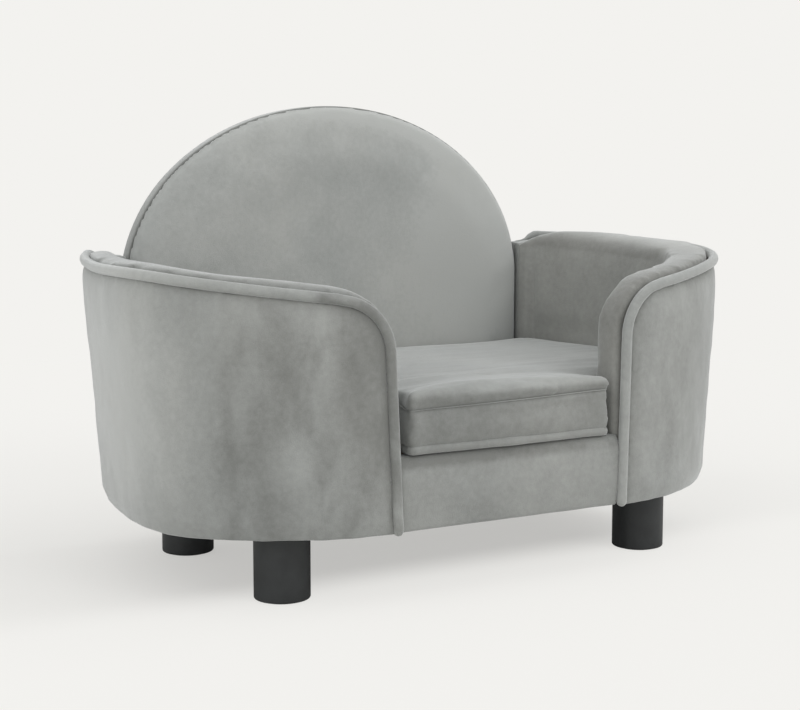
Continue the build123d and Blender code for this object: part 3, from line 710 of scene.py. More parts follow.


# Left arm: lighter far left and darker front, partly brushed nap and partly painted light and shade;
# the right arm's outer panel is made darker, painted shade.
panel_nap_and_light = {
    "left": (
        ((-0.325, 0.00, 0.17), (0.080, 0.17, 0.18), 0.62),
        ((-0.230, -0.14, 0.15), (0.06, 0.07, 0.16), -0.30),
        ((-0.140, -0.18, 0.18), (0.08, 0.07, 0.19), -0.42),
        ((-0.213, -0.15, 0.127), (0.03, 0.05, 0.04), 0.25),
    ),
    "right": (((0.27, -0.13, 0.17), (0.18, 0.14, 0.20), -0.42),),
}
panel_streak = (1.0, 1.0, 0.45)
sides = {"left": -1, "right": 1}
for name, side in sides.items():
    cover = outer_cover()
    if side < 0:
        in_mirror(cover)
    for vert in cover.verts:
        vert.co.z -= drop_at(name, vert.co)
    ruffle(cover, 0.0011, 0.060, 4.0 + side)
    ruffle(cover, 0.0005, 0.017, 8.0 + side)
    finish = velvet("velvet_outer_" + name, panel_nap_and_light[name], -0.02, panel_streak)
    kept_by = ("arm_outer_cover_" + name, (0.56, 0.25), "arm_board_" + name)
    velvet_sheet(cover, "outer_cover_" + name, finish, *kept_by)

# %% [markdown]
# ## Piping
# Piping is a strip of velvet folded round a cord and caught in the seam, so it is a tube. Its line
# runs from the underside up the front edge of the arm, round the corner and along the rim, and then
# behind the arm to the backrest. A curve with a round bevel makes such a tube at once; then it is
# turned into a mesh. A few narrowing rings beyond each end close it in a rounded tip.

# %% Tubes
tip_angles = (0.4, 0.8, 1.15, 1.45)


def piping_mesh(name, rings, radius, closed):
    """Mesh of a round tube. Each ring is a place and its width as a share of the radius."""
    curve = bpy.data.curves.new(name, "CURVE")
    curve.dimensions = "3D"
    curve.bevel_depth = radius
    curve.bevel_resolution = 4
    curve.use_fill_caps = True
    line = curve.splines.new("POLY")
    line.points.add(len(rings) - 1)
    for point, (place, width) in zip(line.points, rings):
        point.co = (*place, 1.0)
        point.radius = width
    line.use_cyclic_u = closed
    holder = bpy.data.objects.new(name, curve)
    scene.collection.objects.link(holder)
    mesh = bpy.data.meshes.new_from_object(holder)
    bpy.data.objects.remove(holder)
    bpy.data.curves.remove(curve)
    return mesh


def with_tips(rings, radius):
    """The rings, and a few narrowing ones beyond each end."""
    tips = [(sin(angle), cos(angle)) for angle in tip_angles]
    (first, first_width), (second, _) = rings[:2]
    (before_last, _), (last, last_width) = rings[-2:]
    first_run = (first - second).normalized() * radius * first_width
    last_run = (last - before_last).normalized() * radius * last_width
    before = [(first + first_run * out, first_width * width) for out, width in reversed(tips)]
    after = [(last + last_run * out, last_width * width) for out, width in tips]
    return before + rings + after


# %% Line of the arm's piping
piping_radius = 0.0048
piping_sink = 0.001
piping_gap = 0.0003
piping_step = 0.006
piping_foot_z = 0.0655
piping_inner_x = 0.2375
piping_ways = (0.02, 0.05, 0.026)
rim_end_gap = 0.008
rear_bends = ((0.0015, 0.0045), (0.005, 0.0072))
tail_width = 0.2
tail_reach = 0.016


def piping_line():
    """Rings from the foot of the right arm's edge to the backrest, each a place and its width."""
    outset = piping_radius + piping_gap
    front_rise = arm_rise_share * foot_plan.front_y
    fan = [point + Vector((away.x, 0.0, away.z)) * outset for point, away in right_planes]
    edge_top_z = fan[0].z + front_rise
    steps = ceil((edge_top_z - piping_foot_z) / piping_step)
    spots = []
    for step in range(steps):
        z = piping_foot_z + (edge_top_z - piping_foot_z) * step / steps
        spots.append((fan[0].x + (z - edge_top_z) * sin(arm_edge_lean), z))
    spots += [(place.x, place.z + front_rise) for place in fan]
    line = []
    for x, z in spots:
        (middle_x, middle_y), radius, _, _ = plan_arcs(plan_at(z))[0]
        beside = max(x - middle_x, 0.0)
        line.append(Vector((x, middle_y - sqrt((radius - piping_sink) ** 2 - beside**2), z)))
    line += rim_line(line[-1], outset)
    return [(place, 1.0) for place in line] + rear_tail(line[-1])


def rim_height(x, y, outset):
    """Height of the piping's middle above a place on the rim."""
    rise = tan(arm_top_slope) * (x - arm_top_x) + arm_rise_share * (y - foot_plan.front_y)
    return arm_top_z + outset / cos(arm_top_slope) + rise


def rim_line(start, outset):
    """Points on along the rim from start, round the rear corner and inwards to the backrest."""
    line = []
    way = 0.0
    while way < 3.0:
        place, _ = wall_point(rim_z, way, piping_sink)
        place, _ = wall_point(rim_height(place.x, place.y, outset), way, piping_sink)
        if place.y > rear_y - piping_radius - rim_end_gap:
            break
        if place.x > start.x + piping_step / 2 or way > 1:
            line.append(place)
        way += piping_ways[int(way)]
    last = line[-1]
    for x_step, y_step in rear_bends:
        x, y = last.x - x_step, last.y + y_step
        line.append(Vector((x, y, rim_height(x, y, outset))))
    return line


def rear_tail(start):
    """Rings from the rear corner to the backrest, where the cord thins out to the folded strip."""
    y = rear_y - piping_radius
    rings = []
    x = start.x - piping_step
    while x > piping_inner_x:
        width = 1 + (tail_width - 1) * over(start.x - x, 0.0, tail_reach)
        rings.append((Vector((x, y, rim_height(x, y, piping_gap + piping_radius * width))), width))
        x -= piping_step
    return rings


# %% Piping along the arms
# Painted shade on the left arm's front piping, which faces away from the light, and a painted
# highlight on its rim at the far left.
piping_light_and_shade = (
    ((-0.150, -0.175, 0.18), (0.12, 0.05, 0.22), -0.50),
    ((-0.310, 0.000, 0.28), (0.06, 0.16, 0.05), 0.40),
)
piping_velvet = velvet("velvet_piping", piping_light_and_shade, 0.08)
right_line = piping_line()
for name, side in sides.items():
    line = []
    for place, width in right_line:
        line.append((Vector((side * place.x, place.y, place.z - rim_drop(name, place.y))), width))
    mesh = piping_mesh("arm_piping_" + name, with_tips(line, piping_radius), piping_radius, False)
    kept_by = ("frame", "velvet_piping", "arm_welt_" + name)
    piece_of(mesh, "arm_piping_" + name, piping_velvet, *kept_by)

# %% [markdown]
# ## Padded pieces
# A padded piece starts as a copy of the plain solids of its foam and its cover. The copy is built
# again from small even cells, which is what a cloth simulation needs, and its edges are eased. Then
# air pressure swells it like a pillow for a few frames. Where the padding is sewn, nailed or lies on
# a board it is held, and elsewhere a vertex may move only so far, so the pad keeps to its place.

# %% Soft copies
soft_cell = 0.004
swell_pressure = 4.0
swell_frames = 10
deck_z = 0.127
deck_held_z = deck_z + 0.004


def applied(mesh, kind, **settings):
    """A bmesh of the mesh after one modifier."""
    holder = bpy.data.objects.new(mesh.name, mesh)
    scene.collection.objects.link(holder)
    modifier = holder.modifiers.new(kind.lower(), kind)
    for name, value in settings.items():
        setattr(modifier, name, value)
    graph = bpy.context.evaluated_depsgraph_get()
    made = bpy.data.meshes.new_from_object(holder.evaluated_get(graph))
    bpy.data.objects.remove(holder)
    result = bmesh.new()
    result.from_mesh(made)
    return result


def soft_copy(names, easing, stuffing=None):
    """Even, closed mesh of a few plain solids together, with its edges eased, and more stuffing."""
    solid = bmesh.new()
    for name in names:
        solid.from_mesh(nodes[name].data)
    bmesh.ops.remove_doubles(solid, verts=solid.verts, dist=1e-5)
    if stuffing:
        stuffing(solid)
    copy = mesh_of(solid, names[0] + "_copy")
    soft = applied(copy, "REMESH", mode="VOXEL", voxel_size=soft_cell)
    smooth(soft, soft.verts, easing)
    return soft


def swell(soft, held, limit):
    """Inflates a closed mesh. Held says where it can't move, and limit how far a place may move."""
    mesh = bpy.data.meshes.new("swelling")
    soft.to_mesh(mesh)
    holder = bpy.data.objects.new("swelling", mesh)
    scene.collection.objects.link(holder)
    sewn = holder.vertex_groups.new(name="sewn")
    sewn.add([number for number, vert in enumerate(soft.verts) if held(vert.co)], 1.0, "REPLACE")
    cloth = holder.modifiers.new("cloth", "CLOTH")
    cloth.settings.use_pressure = True
    cloth.settings.uniform_pressure_force = swell_pressure
    cloth.settings.effector_weights.gravity = 0.0
    cloth.settings.vertex_group_mass = sewn.name
    for number in range(1, swell_frames + 1):
        scene.frame_set(number)
    graph = bpy.context.evaluated_depsgraph_get()
    swollen = holder.evaluated_get(graph).data
    longest = 0.0
    for vert, after in zip(soft.verts, swollen.vertices):
        move = after.co - vert.co
        most = limit(vert.co)
        if move.length > 1e-7:
            longest = max(longest, move.length)
            vert.co += move * (most * tanh(move.length / most) / move.length)
    scene.frame_set(1)
    bpy.data.objects.remove(holder)
    print("longest move before the limit:", round(longest, 4))


def finer(soft):
    """One rounding subdivision."""
    return applied(mesh_of(soft, "finer"), "SUBSURF", levels=1, render_levels=1)


# %% [markdown]
# ## Padding of the arms
# The inside of each arm is a thick pad: it rolls over the front edge as a round nose and over the
# rim as a soft ledge, always down to the piping seam. It is held along that seam, at the deck and at
# the backrest. The cloth is gathered a little where it is sewn, so short puckers run away from the
# seam at the front. One pad is swollen and then used for both arms, with other puckers on each.

# %% Arm pads
pad_seam_depth = 0.0125
pad_held_y = 0.150
pad_end_y = 0.1592
stuffing_x = (0.2321, 0.2620)
stuffing_y = (0.1480, 0.1625)
stuffing_z = (0.2875, 0.2965)
pad_squaring = 0.0060
pad_spread = 0.0025
pad_spread_z = arm_top_z + 0.01
pad_spread_depth = 0.012
pad_tight = 0.0015
pad_loose = 0.0045
pad_loose_z = (0.19, 0.215)
ledge_z = 0.25
rear_ledge = (0.262, -0.06)


def pad_held(place):
    return wall_depth(place) < pad_seam_depth or place.z < deck_held_z or place.y > pad_held_y


def pad_limit(place):
    return pad_tight + (pad_loose - pad_tight) * over(place.z, *pad_loose_z)


def rear_stuffing(solid):
    """Fills the corner between the pad and the backrest, up to a top that falls towards it."""
    low, high = stuffing_z
    for vert in bmesh.ops.create_cube(solid)["verts"]:
        share = vert.co.x + 0.5
        top = low + (high - low) * share
        vert.co.x = stuffing_x[0] + (stuffing_x[1] - stuffing_x[0]) * share
        vert.co.y = stuffing_y[0] + (stuffing_y[1] - stuffing_y[0]) * (vert.co.y + 0.5)
        vert.co.z = top if vert.co.z > 0 else deck_z


def arm_pad():
    """Swollen pad of the right arm, squared up to the backrest and pressed to the rim behind."""
    soft = soft_copy(("arm_foam_right", "arm_inner_cover_right"), 3, rear_stuffing)
    swell(soft, pad_held, pad_limit)
    smooth(soft, [vert for vert in soft.verts if vert.co.z > ledge_z], 4)
    low_z, low_y = rear_ledge
    smooth(soft, [vert for vert in soft.verts if vert.co.z > low_z and vert.co.y > low_y], 6)
    soft = finer(soft)
    soft.normal_update()
    for vert in soft.verts:
        away = vert.normal
        flat_away = Vector((away.x, away.y, 0.0))
        if vert.co.y > stuffing_y[0]:
            if away.x < 0 < away.y:
                vert.co += flat_away * pad_squaring * -2 * away.x * away.y
            vert.co.x = max(vert.co.x, stuffing_x[0])
        behind = vert.co.y > 0 and vert.co.z > pad_spread_z and away.x > 0
        if behind and wall_depth(vert.co) < pad_spread_depth:
            vert.co += flat_away * pad_spread
        vert.co.y = min(vert.co.y, pad_end_y)
        vert.co.z = max(vert.co.z, foot_z)
    return soft


# %% Puckers, and the two pads
pucker_height = 0.0007
pucker_size = (0.012, 0.012, 0.05)
pucker_reach = 0.017
pucker_start = 0.004
pucker_end_y = (-0.06, 0.02)
rim_seat_depth = 0.016
rim_seat_outset = 0.0018
pad_shade = 0.003


def pucker(cloth, seed):
    """Short folds that run away from the seam and fade within their reach, and towards the rear."""
    cloth.normal_update()
    for vert in cloth.verts:
        depth = arm_depth(vert.co)
        fold = noise_at(vert.co, pucker_size, seed) * exp(-depth / pucker_reach)
        fold *= min(depth / pucker_start, 1.0)
        fold *= 1 - over(vert.co.y, *pucker_end_y)
        vert.co += vert.normal * pucker_height * fold


def settle_pad(soft, side):
    """Lets the rear half of the pad down with the rim, but never under the top of the board."""
    soft.normal_update()
    for vert in soft.verts:
        place = on_right(vert.co)
        low_z = vert.co.z - drop_at(side, vert.co)
        on_board = vert.normal.z > 0.1 and vert.co.y > 0 and wall_depth(place) < rim_seat_depth
        least = rim_height(place.x, place.y, rim_seat_outset) if on_board else low_z
        vert.co.z = max(low_z, least)


# Painted highlights on the right pad: on its top towards the rear, and low by its nose.
pad_painted_light = (
    ((0.29, 0.00, 0.30), (0.05, 0.16, 0.028), 0.55),
    ((0.15, -0.17, 0.16), (0.06, 0.05, 0.10), 0.15),
)
# The left pad is made lighter, and the right one, whose inside is in shade, darker and warmer:
# painted light and shade.
pad_finishes = {
    "left": velvet("velvet_pad_left", lightness=0.10),
    "right": velvet("velvet_pad_right", pad_painted_light, lightness=-0.02, warmth=0.5),
}
right_pad = arm_pad()
for name, side in sides.items():
    soft = right_pad.copy()
    if side < 0:
        in_mirror(soft)
    if rear_drop[name]:
        settle_pad(soft, name)
    pucker(soft, 5.0 + side)
    ruffle(soft, 0.0008, 0.06, 9.0 + side)
    # Painted shade in the crease along the piping seam.
    paint_shading(soft, lambda place: 0.8 * exp(-arm_depth(place) / pad_shade))
    solids = ("arm_foam_" + name, "arm_inner_cover_" + name)
    velvet_pad(soft, "arm_pad_" + name, pad_finishes[name], "frame", 0.85, *solids)
right_pad.free()

# %% [markdown]
# ## Caps of the arms
# Where an arm meets the backrest, a narrow flap of the same velvet is laid over the top of the post.
# It is tucked in behind the post, folded down in front of it to the deck and turned in at its edge,
# so no wood shows in the corner.

# %% Arm caps
cap_cells = (16, 120)
cap_low_x = 0.2321
cap_high_x = 0.2600
cap_wide_x = 0.2735
cap_edge = 0.0025
cap_narrowing = 0.012
cap_rear_y = 0.1792
cap_front_y = 0.1602
cap_tuck = 0.011
cap_drop = 0.155
cap_wrap = 0.0095
cap_wrap_share = 0.25
cap_corner = 0.0022
cap_lift = 0.0014
cap_shade = 0.2


def rim_x(y):
    """How far out the rear arc of the rim is at depth y."""
    (middle_x, middle_y), radius, _, _ = plan_arcs(plan_at(rim_z))[-1]
    return middle_x + sqrt(radius**2 - (y - middle_y) ** 2)


def cap_place(across, up):
    """Point of the flap: up runs from its end behind the post, over the post, to its lower end."""
    flat = cap_rear_y - cap_front_y
    gone = up * (cap_tuck + flat + cap_drop) - cap_tuck
    y = cap_rear_y - min(max(gone, 0.0), flat)
    widest = min(cap_wide_x, rim_x(y) - cap_edge)
    reach = widest + (cap_high_x - widest) * over(gone, flat, flat + cap_narrowing)
    x = cap_low_x + (reach - cap_low_x) * max(across - cap_wrap_share, 0.0) / (1 - cap_wrap_share)
    wrapped = cap_wrap * max(cap_wrap_share - across, 0.0) / cap_wrap_share
    top = rim_height(x, y, cap_lift)
    if gone < flat:
        return Vector((x, y, top - max(wrapped, -gone)))
    return Vector((x, y + wrapped, top - (gone - flat)))


for name, side in sides.items():
    flap = cloth_grid(*cap_cells, cap_place)
    fold_y = cap_front_y + cap_corner
    fold = [vert for vert in flap.verts if vert.co.z > arm_top_z and vert.co.y < fold_y]
    smooth(flap, [vert for vert in fold if vert.co.x > cap_low_x + cap_wrap], 3)
    if side > 0:
        bmesh.ops.reverse_faces(flap, faces=flap.faces)
    else:
        bmesh.ops.scale(flap, vec=(-1.0, 1.0, 1.0), verts=flap.verts)
    ruffle(flap, 0.0003, 0.012, 61.0 + side)
    # The whole flap is painted a little darker: shade in the corner between arm and backrest.
    paint_shading(flap, lambda place: cap_shade)
    kept_by = ("arm_cap_" + name, (0.037, 0.185), "arm_post_" + name, "folded")
    velvet_sheet(flap, "arm_cap_cover_" + name, plain_velvet, *kept_by)

# %% [markdown]
# ## Backrest
# The backrest is an arched board with a crowned pad on its front, a narrow boxing band round its
# edge and a plain panel behind. The pad swells like the arms and is held where the cloth is tacked
# behind it. The band starts with a lip that is turned in behind the pad, as the seam allowance is.

# %% Outline of the backrest
back_half_width = 0.232
spring_z = 0.2515
arch_rise = 0.1835
arch_cuts = 64


def on_arch(angle, inset):
    """Point and outward direction on the arch, for an angle of its ellipse."""
    away = Vector((cos(angle) * arch_rise, 0.0, sin(angle) * back_half_width)).normalized()
    place = Vector((back_half_width * cos(angle), 0.0, spring_z + arch_rise * sin(angle)))
    return place - away * inset, away


def arch_point(share, inset):
    """Point and outward direction on the backrest's outline, from left foot to right foot."""
    leg = spring_z - foot_z
    arch = pi / 2 * (back_half_width + arch_rise)
    way = share * (2 * leg + arch)
    if leg <= way <= leg + arch:
        return on_arch(pi - pi * (way - leg) / arch, inset)
    side = -1.0 if way < leg else 1.0
    z = foot_z + way if way < leg else foot_z + 2 * leg + arch - way
    return Vector((side * (back_half_width - inset), 0.0, z)), Vector((side, 0.0, 0.0))


def arch_planes(inset):
    """Planes round the outline, moved inwards by the inset."""
    planes = []
    for side in (-1, 1):
        point = Vector((side * (back_half_width - inset), 0.0, 0.0))
        planes.append((point, Vector((side, 0.0, 0.0))))
    return planes + [on_arch(pi * cut / arch_cuts, inset) for cut in range(1, arch_cuts)]


# %% Backrest pad
back_swell = 0.003
back_held_y = 0.1600
back_squaring = 0.007
back_eased_y = 0.1545
back_pad_rear_y = 0.1648
edge_inset = 0.0008


def back_held(place):
    return place.y > back_held_y or place.z < deck_held_z


def back_pad():
    """Swollen pad of the backrest, kept inside its outline and in front of the band's lip."""
    soft = soft_copy(("back_foam", "back_front_cover"), 5)
    swell(soft, back_held, lambda place: back_swell)
    soft = finer(soft)
    ruffle(soft, 0.0010, 0.06, 21.0)
    soft.normal_update()
    planes = arch_planes(edge_inset)
    for vert in soft.verts:
        outward = Vector((vert.normal.x, 0.0, vert.normal.z)).length
        vert.co += vert.normal * back_squaring * 2 * outward * max(vert.normal.y, 0.0)
    for rounds in (0, 3, 2):
        smooth(soft, [vert for vert in soft.verts if vert.co.y > back_eased_y], rounds)
        for vert in soft.verts:
            vert.co.y = min(vert.co.y, back_pad_rear_y)
            for point, away in planes:
                beyond = (vert.co - point).dot(away)
                if beyond > 0:
                    vert.co -= away * beyond
    return soft


# Painted highlight on the upper right of the backrest, and painted shade low on the left by the arm.
back_light_and_shade = (
    ((0.19, 0.15, 0.30), (0.14, 0.05, 0.18), 0.55),
    ((-0.19, 0.15, 0.23), (0.08, 0.04, 0.07), -0.35),
)
back_seam_planes = arch_planes(0.0)


def back_shade(place):
    """Painted shade along the seam, and a painted highlight on the rounding, stronger to the right.
    """
    depth = depth_inside(back_seam_planes, place)
    light = 0.30 + 1.9 * over(place.x, -0.10, 0.20)
    seam = 0.9 * exp(-depth / 0.002) * over(place.y, 0.1585, 0.1640)
    return seam - light * exp(-(((depth - 0.006) / 0.013) ** 2))


soft = back_pad()
paint_shading(soft, back_shade)
# The backrest's velvet is made lighter overall: painted light on its front.
back_finish = velvet("velvet_back", back_light_and_shade, 0.30)
velvet_pad(soft, "back_pad", back_finish, "frame", 0.85, "back_foam", "back_front_cover")

# %% Boxing band
band_cells = (220, 14)
band_front_y = 0.1655
band_rear_y = 0.1788
band_lip = 0.006
band_lip_share = 0.3
band_bulge = 0.0004


def band_place(across, up):
    """Point of the band: its turned-in lip first, then the band itself, which bulges a little."""
    inset = band_lip * max(band_lip_share - up, 0.0) / band_lip_share
    share = max(up - band_lip_share, 0.0) / (1 - band_lip_share)
    place, away = arch_point(across, inset)
    place += away * (band_bulge * sin(pi * share) - band_bulge)
    place.y = band_front_y + (band_rear_y - band_front_y) * share
    return place


band = cloth_grid(*band_cells, band_place)
# Painted shade in the groove along the band's front edge, next to the pad.
paint_shading(band, lambda place: 0.9 * exp(-(place.y - band_front_y) / 0.0015))
velvet_sheet(band, "back_band", plain_velvet, "back_edge_band", (1.02, 0.020), "back_board")

# %% Rear panel
panel_gap = 0.0002
rear_cells = (90, 70)
rear_fullness = 0.0018
rear_dip = 0.0014


def rear_place(across, up):
    z = foot_z + (cad_high.z - foot_z) * up
    return Vector((back_half_width * (1 - 2 * across), rear_y, z))


rear = cloth_grid(*rear_cells, rear_place)
rear_planes = arch_planes(panel_gap)
trim(rear, rear_planes)
for vert in rear.verts:
    rise = rear_fullness * (1 - exp(-depth_inside(rear_planes, vert.co) / 0.006))
    vert.co.y += rise - rear_dip
ruffle(rear, 0.0006, 0.06, 31.0)
# Painted shade along the edge of the rear panel, at its seam.
paint_shading(rear, lambda place: exp(-depth_inside(rear_planes, place) / 0.005))
velvet_sheet(rear, "rear_panel", plain_velvet, "back_rear_cover", (0.47, 0.37), "back_board")

# %% [markdown]
# ## Seat cushion
# A loose boxed cushion: it fills the seat between the arms and narrows to a neck between their round
# fronts. It has piping along its lower edge, a plain seam a finger's width under its top, and a top
# that crowns and wrinkles a little. It is held along both seams while it swells. The seam isn't
# level: it climbs to the right, and further along the sides. So the body is shifted down by the
# seam's height, cut by a level plane, and the cut line is shifted back up.

# %% Cushion body
cushion_nodes = ("cushion_foam", "cushion_bottom_panel", "cushion_side_band", "cushion_top_panel")
cushion_low_z = 0.1276
cushion_piping_z = 0.1326
cushion_side_swell = 0.0015
cushion_top_swell = 0.003
groove_half = 0.150
groove_half_height = 0.0066
groove_z = 0.1556
groove_y = 0.1384
groove_slope = 1.4


def seam_height(place):
    """Height of the upper seam: low at the front, higher along the sides and the rear."""
    front = 0.169 + 0.020 * place.x
    return front + (0.1785 - front) * over(place.y, -0.165, -0.10)


def cushion_held(place):
    return place.z < cushion_piping_z + 0.003 or abs(place.z - seam_height(place)) < 0.002


def cushion_limit(place):
    above = over(place.z - seam_height(place), 0.0, 0.006)
    return cushion_side_swell + (cushion_top_swell - cushion_side_swell) * above


# %% Corners and wrinkles of the cushion
band_fullness = 0.0062
cushion_corner = (0.1085, -0.1740)
neck_ends = (0.085, -0.12)
band_ends = (0.100, -0.14)
corner_reach = 0.026
corner_push = 0.0075
corner_sharpening = 0.0020
lip_sharpening = 0.0050
lip_y = (-0.155, -0.130)
lip_rise = (0.001, 0.004)
wrinkle_height = 0.0022
wrinkle_size = (0.11, 0.014, 0.05)


def front_ends(cloth, reach):
    """Vertices near the two ends of the cushion's front."""
    return [vert for vert in cloth.verts if abs(vert.co.x) > reach[0] and vert.co.y < reach[1]]


def square_up(cloth):
    """Pushes the front corners out and fills the band between the seams, as tight stuffing does."""
    smooth(cloth, front_ends(cloth, neck_ends), 4)
    cloth.normal_update()
    for vert in cloth.verts:
        away = vert.normal
        low_z, high_z = cushion_piping_z, seam_height(vert.co)
        share = min(max((vert.co.z - low_z) / (high_z - low_z), 0.0), 1.0)
        vert.co += Vector((away.x, away.y, 0.0)) * band_fullness * sin(pi * share)
        side = 1.0 if vert.co.x > 0 else -1.0
        corner = Vector((side * cushion_corner[0], cushion_corner[1]))
        nearness = 1 - over((vert.co.xy - corner).length, 0.0, corner_reach)
        vert.co += Vector((side, -0.6, 0.0)) * corner_push * nearness
        vert.co += away * corner_sharpening * 2 * abs(away.x * away.y) * nearness
        above = over(vert.co.z, high_z + lip_rise[0], high_z + lip_rise[1])
        lip = 2 * max(-away.y, 0.0) * max(away.z, 0.0) * (1 - over(vert.co.y, *lip_y)) * above
        vert.co += away * lip_sharpening * lip
    ends = front_ends(cloth, band_ends)
    smooth(cloth, [vert for vert in ends if vert.co.z < seam_height(vert.co) - 0.002], 16, "x")


def wrinkle(cloth, seed):
    """Low folds in the top that run along the front edge and fade towards the rear."""
    for vert in cloth.verts:
        share = over(vert.co.y, -0.166, -0.150) * (1 - 0.75 * over(vert.co.y, -0.11, -0.04))
        share *= over(vert.normal.z, 0.5, 0.9)
        vert.co.z += wrinkle_height * share * (noise_at(vert.co, wrinkle_size, seed) - 0.25)


cushion = soft_copy(cushion_nodes, 3)
swell(cushion, cushion_held, cushion_limit)
cushion = finer(cushion)
square_up(cushion)
cushion.normal_update()
wrinkle(cushion, 3.0)
for vert in cushion.verts:
    vert.co.z = max(vert.co.z, cushion_low_z)
    above = abs(vert.co.z - groove_z) - groove_half_height
    beside = max(abs(vert.co.x) - groove_half, above, 0.0)
    if vert.co.y > 0:
        vert.co.y = min(vert.co.y, groove_y + groove_slope * beside)
print("cushion top at", round(max(vert.co.z for vert in cushion.verts), 4))


# %% Seam lines of the cushion
def line_round(body, height):
    """Points round the body, in order, where a surface of the given height cuts it."""
    slice_copy = body.copy()
    for vert in slice_copy.verts:
        vert.co.z -= height(vert.co)
    cut = bmesh.ops.bisect_plane(
        slice_copy,
        geom=[*slice_copy.verts, *slice_copy.edges, *slice_copy.faces],
        dist=1e-7,
        plane_co=(0.0, 0.0, 0.0),
        plane_no=(0.0, 0.0, 1.0),
    )["geom_cut"]
    edges = {item for item in cut if isinstance(item, bmesh.types.BMEdge)}
    start = min((edge.verts[0] for edge in edges), key=lambda vert: vert.co.y)
    places = [start.co.copy()]
    here = start
    while True:
        ahead = [edge for edge in here.link_edges if edge in edges]
        if not ahead:
            break
        edges.discard(ahead[0])
        here = ahead[0].other_vert(here)
        if here is start:
            break
        places.append(here.co.copy())
    slice_copy.free()
    for place in places:
        place.z += height(place)
    return places


def eased(places, rounds):
    """A closed line with its small steps smoothed away."""
    for _ in range(rounds):
        befores, afters = [places[-1], *places[:-1]], [*places[1:], places[0]]
        trios = zip(befores, places, afters)
        places = [(before + here * 2 + after) / 4 for before, here, after in trios]
    return places


lower_line = eased(line_round(cushion, lambda place: cushion_piping_z), 6)
upper_line = eased(line_round(cushion, seam_height), 4)
print("cushion outline", len(lower_line), "and", len(upper_line), "points")

# %% Cushion pieces
cushion_piping_radius = 0.0042
cushion_ridge_radius = 0.0008
seam_pull = 0.0012
seam_half = 0.0022


def ridge_width(place):
    """The seam's ridge is flat along the front and stands up along the sides and the rear."""
    return 0.5 + 0.9 * over(place.y, -0.165, -0.14)


def cushion_shade(place):
    """Painted shade along the seam, and the front made darker below the top edge."""
    seam = 0.5 * exp(-(((place.z - seam_height(place)) / 0.0016) ** 2))
    front = (1 - over(place.y, -0.172, -0.158)) * (1 - over(place.z, 0.1760, 0.1815))
    return seam + 0.95 * front


for vert in cushion.verts:
    nearness = exp(-(((vert.co.z - seam_height(vert.co)) / seam_half) ** 2))
    vert.co -= Vector((vert.normal.x, vert.normal.y, 0.0)) * seam_pull * nearness
ruffle(cushion, 0.0006, 0.05, 41.0)
# Painted seam shade, and a darker front, for the velvet.
paint_shading(cushion, cushion_shade)
velvet_pad(cushion, "seat_cushion", velvet("velvet_cushion"), "cushion", 0.75, *cushion_nodes)

lower_rings = [(place, 1.0) for place in lower_line]
upper_rings = [(place, ridge_width(place)) for place in upper_line]
lower_velvet = velvet("velvet_cushion_piping", lightness=-0.22)
for name, rings, radius, finish, stood_for in (
    ("cushion_piping", lower_rings, cushion_piping_radius, lower_velvet, "cushion_bottom_welt"),
    ("cushion_ridge", upper_rings, cushion_ridge_radius, piping_velvet, "cushion_top_seam"),
):
    mesh = piping_mesh(name, rings, radius, True)
    piece_of(mesh, name, finish, "cushion", "velvet_piping", stood_for)

# %% [markdown]
# ## Front rail
# The front rail is wrapped in velvet over wadding. The cloth turns under the rail at the bottom,
# bulges a little on its face, and rolls back over a soft shoulder under the cushion. It is slack
# there, so the shoulder waves a little, and it puckers next to the arm on the right.

# %% Front rail cover
rail_cells = (130, 70)
rail_half = (0.1155, 0.1175)
rail_face_y = -0.1725
rail_low_corner = 0.003
rail_shoulder = 0.013
rail_shoulder_depth = 0.0068
rail_top_z = 0.1275
rail_hem = 0.018
rail_top_width = 0.012
rail_thickness = 0.0042
rail_thin_share = 0.92
rail_belly = 0.0022
rail_wave = 0.0016


def rail_section(way):
    """Depth and height on the section, for a share of the way along it."""
    corner = rail_low_corner
    face = rail_top_z - foot_z - corner - rail_shoulder
    runs = (rail_hem, corner * pi / 2, face, rail_shoulder * pi / 2, rail_top_width)
    gone = way * sum(runs)
    for number, run in enumerate(runs):
        if gone <= run or number == len(runs) - 1:
            break
        gone -= run
    turn = gone / run * pi / 2
    if number == 0:
        return rail_face_y + corner + rail_hem - gone, foot_z
    if number == 1:
        return rail_face_y + corner * (1 - sin(turn)), foot_z + corner * (1 - cos(turn))
    if number == 2:
        return rail_face_y, foot_z + corner + gone
    if number == 3:
        y = rail_face_y + rail_shoulder_depth * (1 - cos(turn))
        return y, rail_top_z - rail_shoulder * (1 - sin(turn))
    return rail_face_y + rail_shoulder_depth + gone, rail_top_z


def rail_place(across, up):
    y, z = rail_section(up)
    height = (z - foot_z) / (rail_top_z - foot_z)
    half = rail_half[0] + (rail_half[1] - rail_half[0]) * height
    x = half * (2 * across - 1)
    belly = rail_belly * sin(pi * min(height / 0.85, 1.0))
    slack = over(height, 0.55, 0.85)
    wave = rail_wave * noise.noise(Vector((x / 0.045, 0.0, 7.0))) * slack
    folds = rail_wave * noise.noise(Vector((x / 0.007, z / 0.03, 3.0))) * over(x, 0.085, 0.112)
    front = 1 - over(y, -0.160, -0.150)
    low = max(wave + 0.0005, 0.0) * slack * (1 - over(y, -0.170, -0.167))
    return Vector((x, y - (belly + wave + folds * slack) * front, z - low))


def rail_shade(place):
    """Painted shade beside the arms and in the valley under the cushion; the whole rail darker."""
    valley = over(place.z, 0.113, 0.121) * (1 - 0.6 * over(place.x, 0.05, 0.10))
    return 0.6 * exp(-(rail_half[1] - abs(place.x)) / 0.0025) + 0.45 + 1.1 * valley


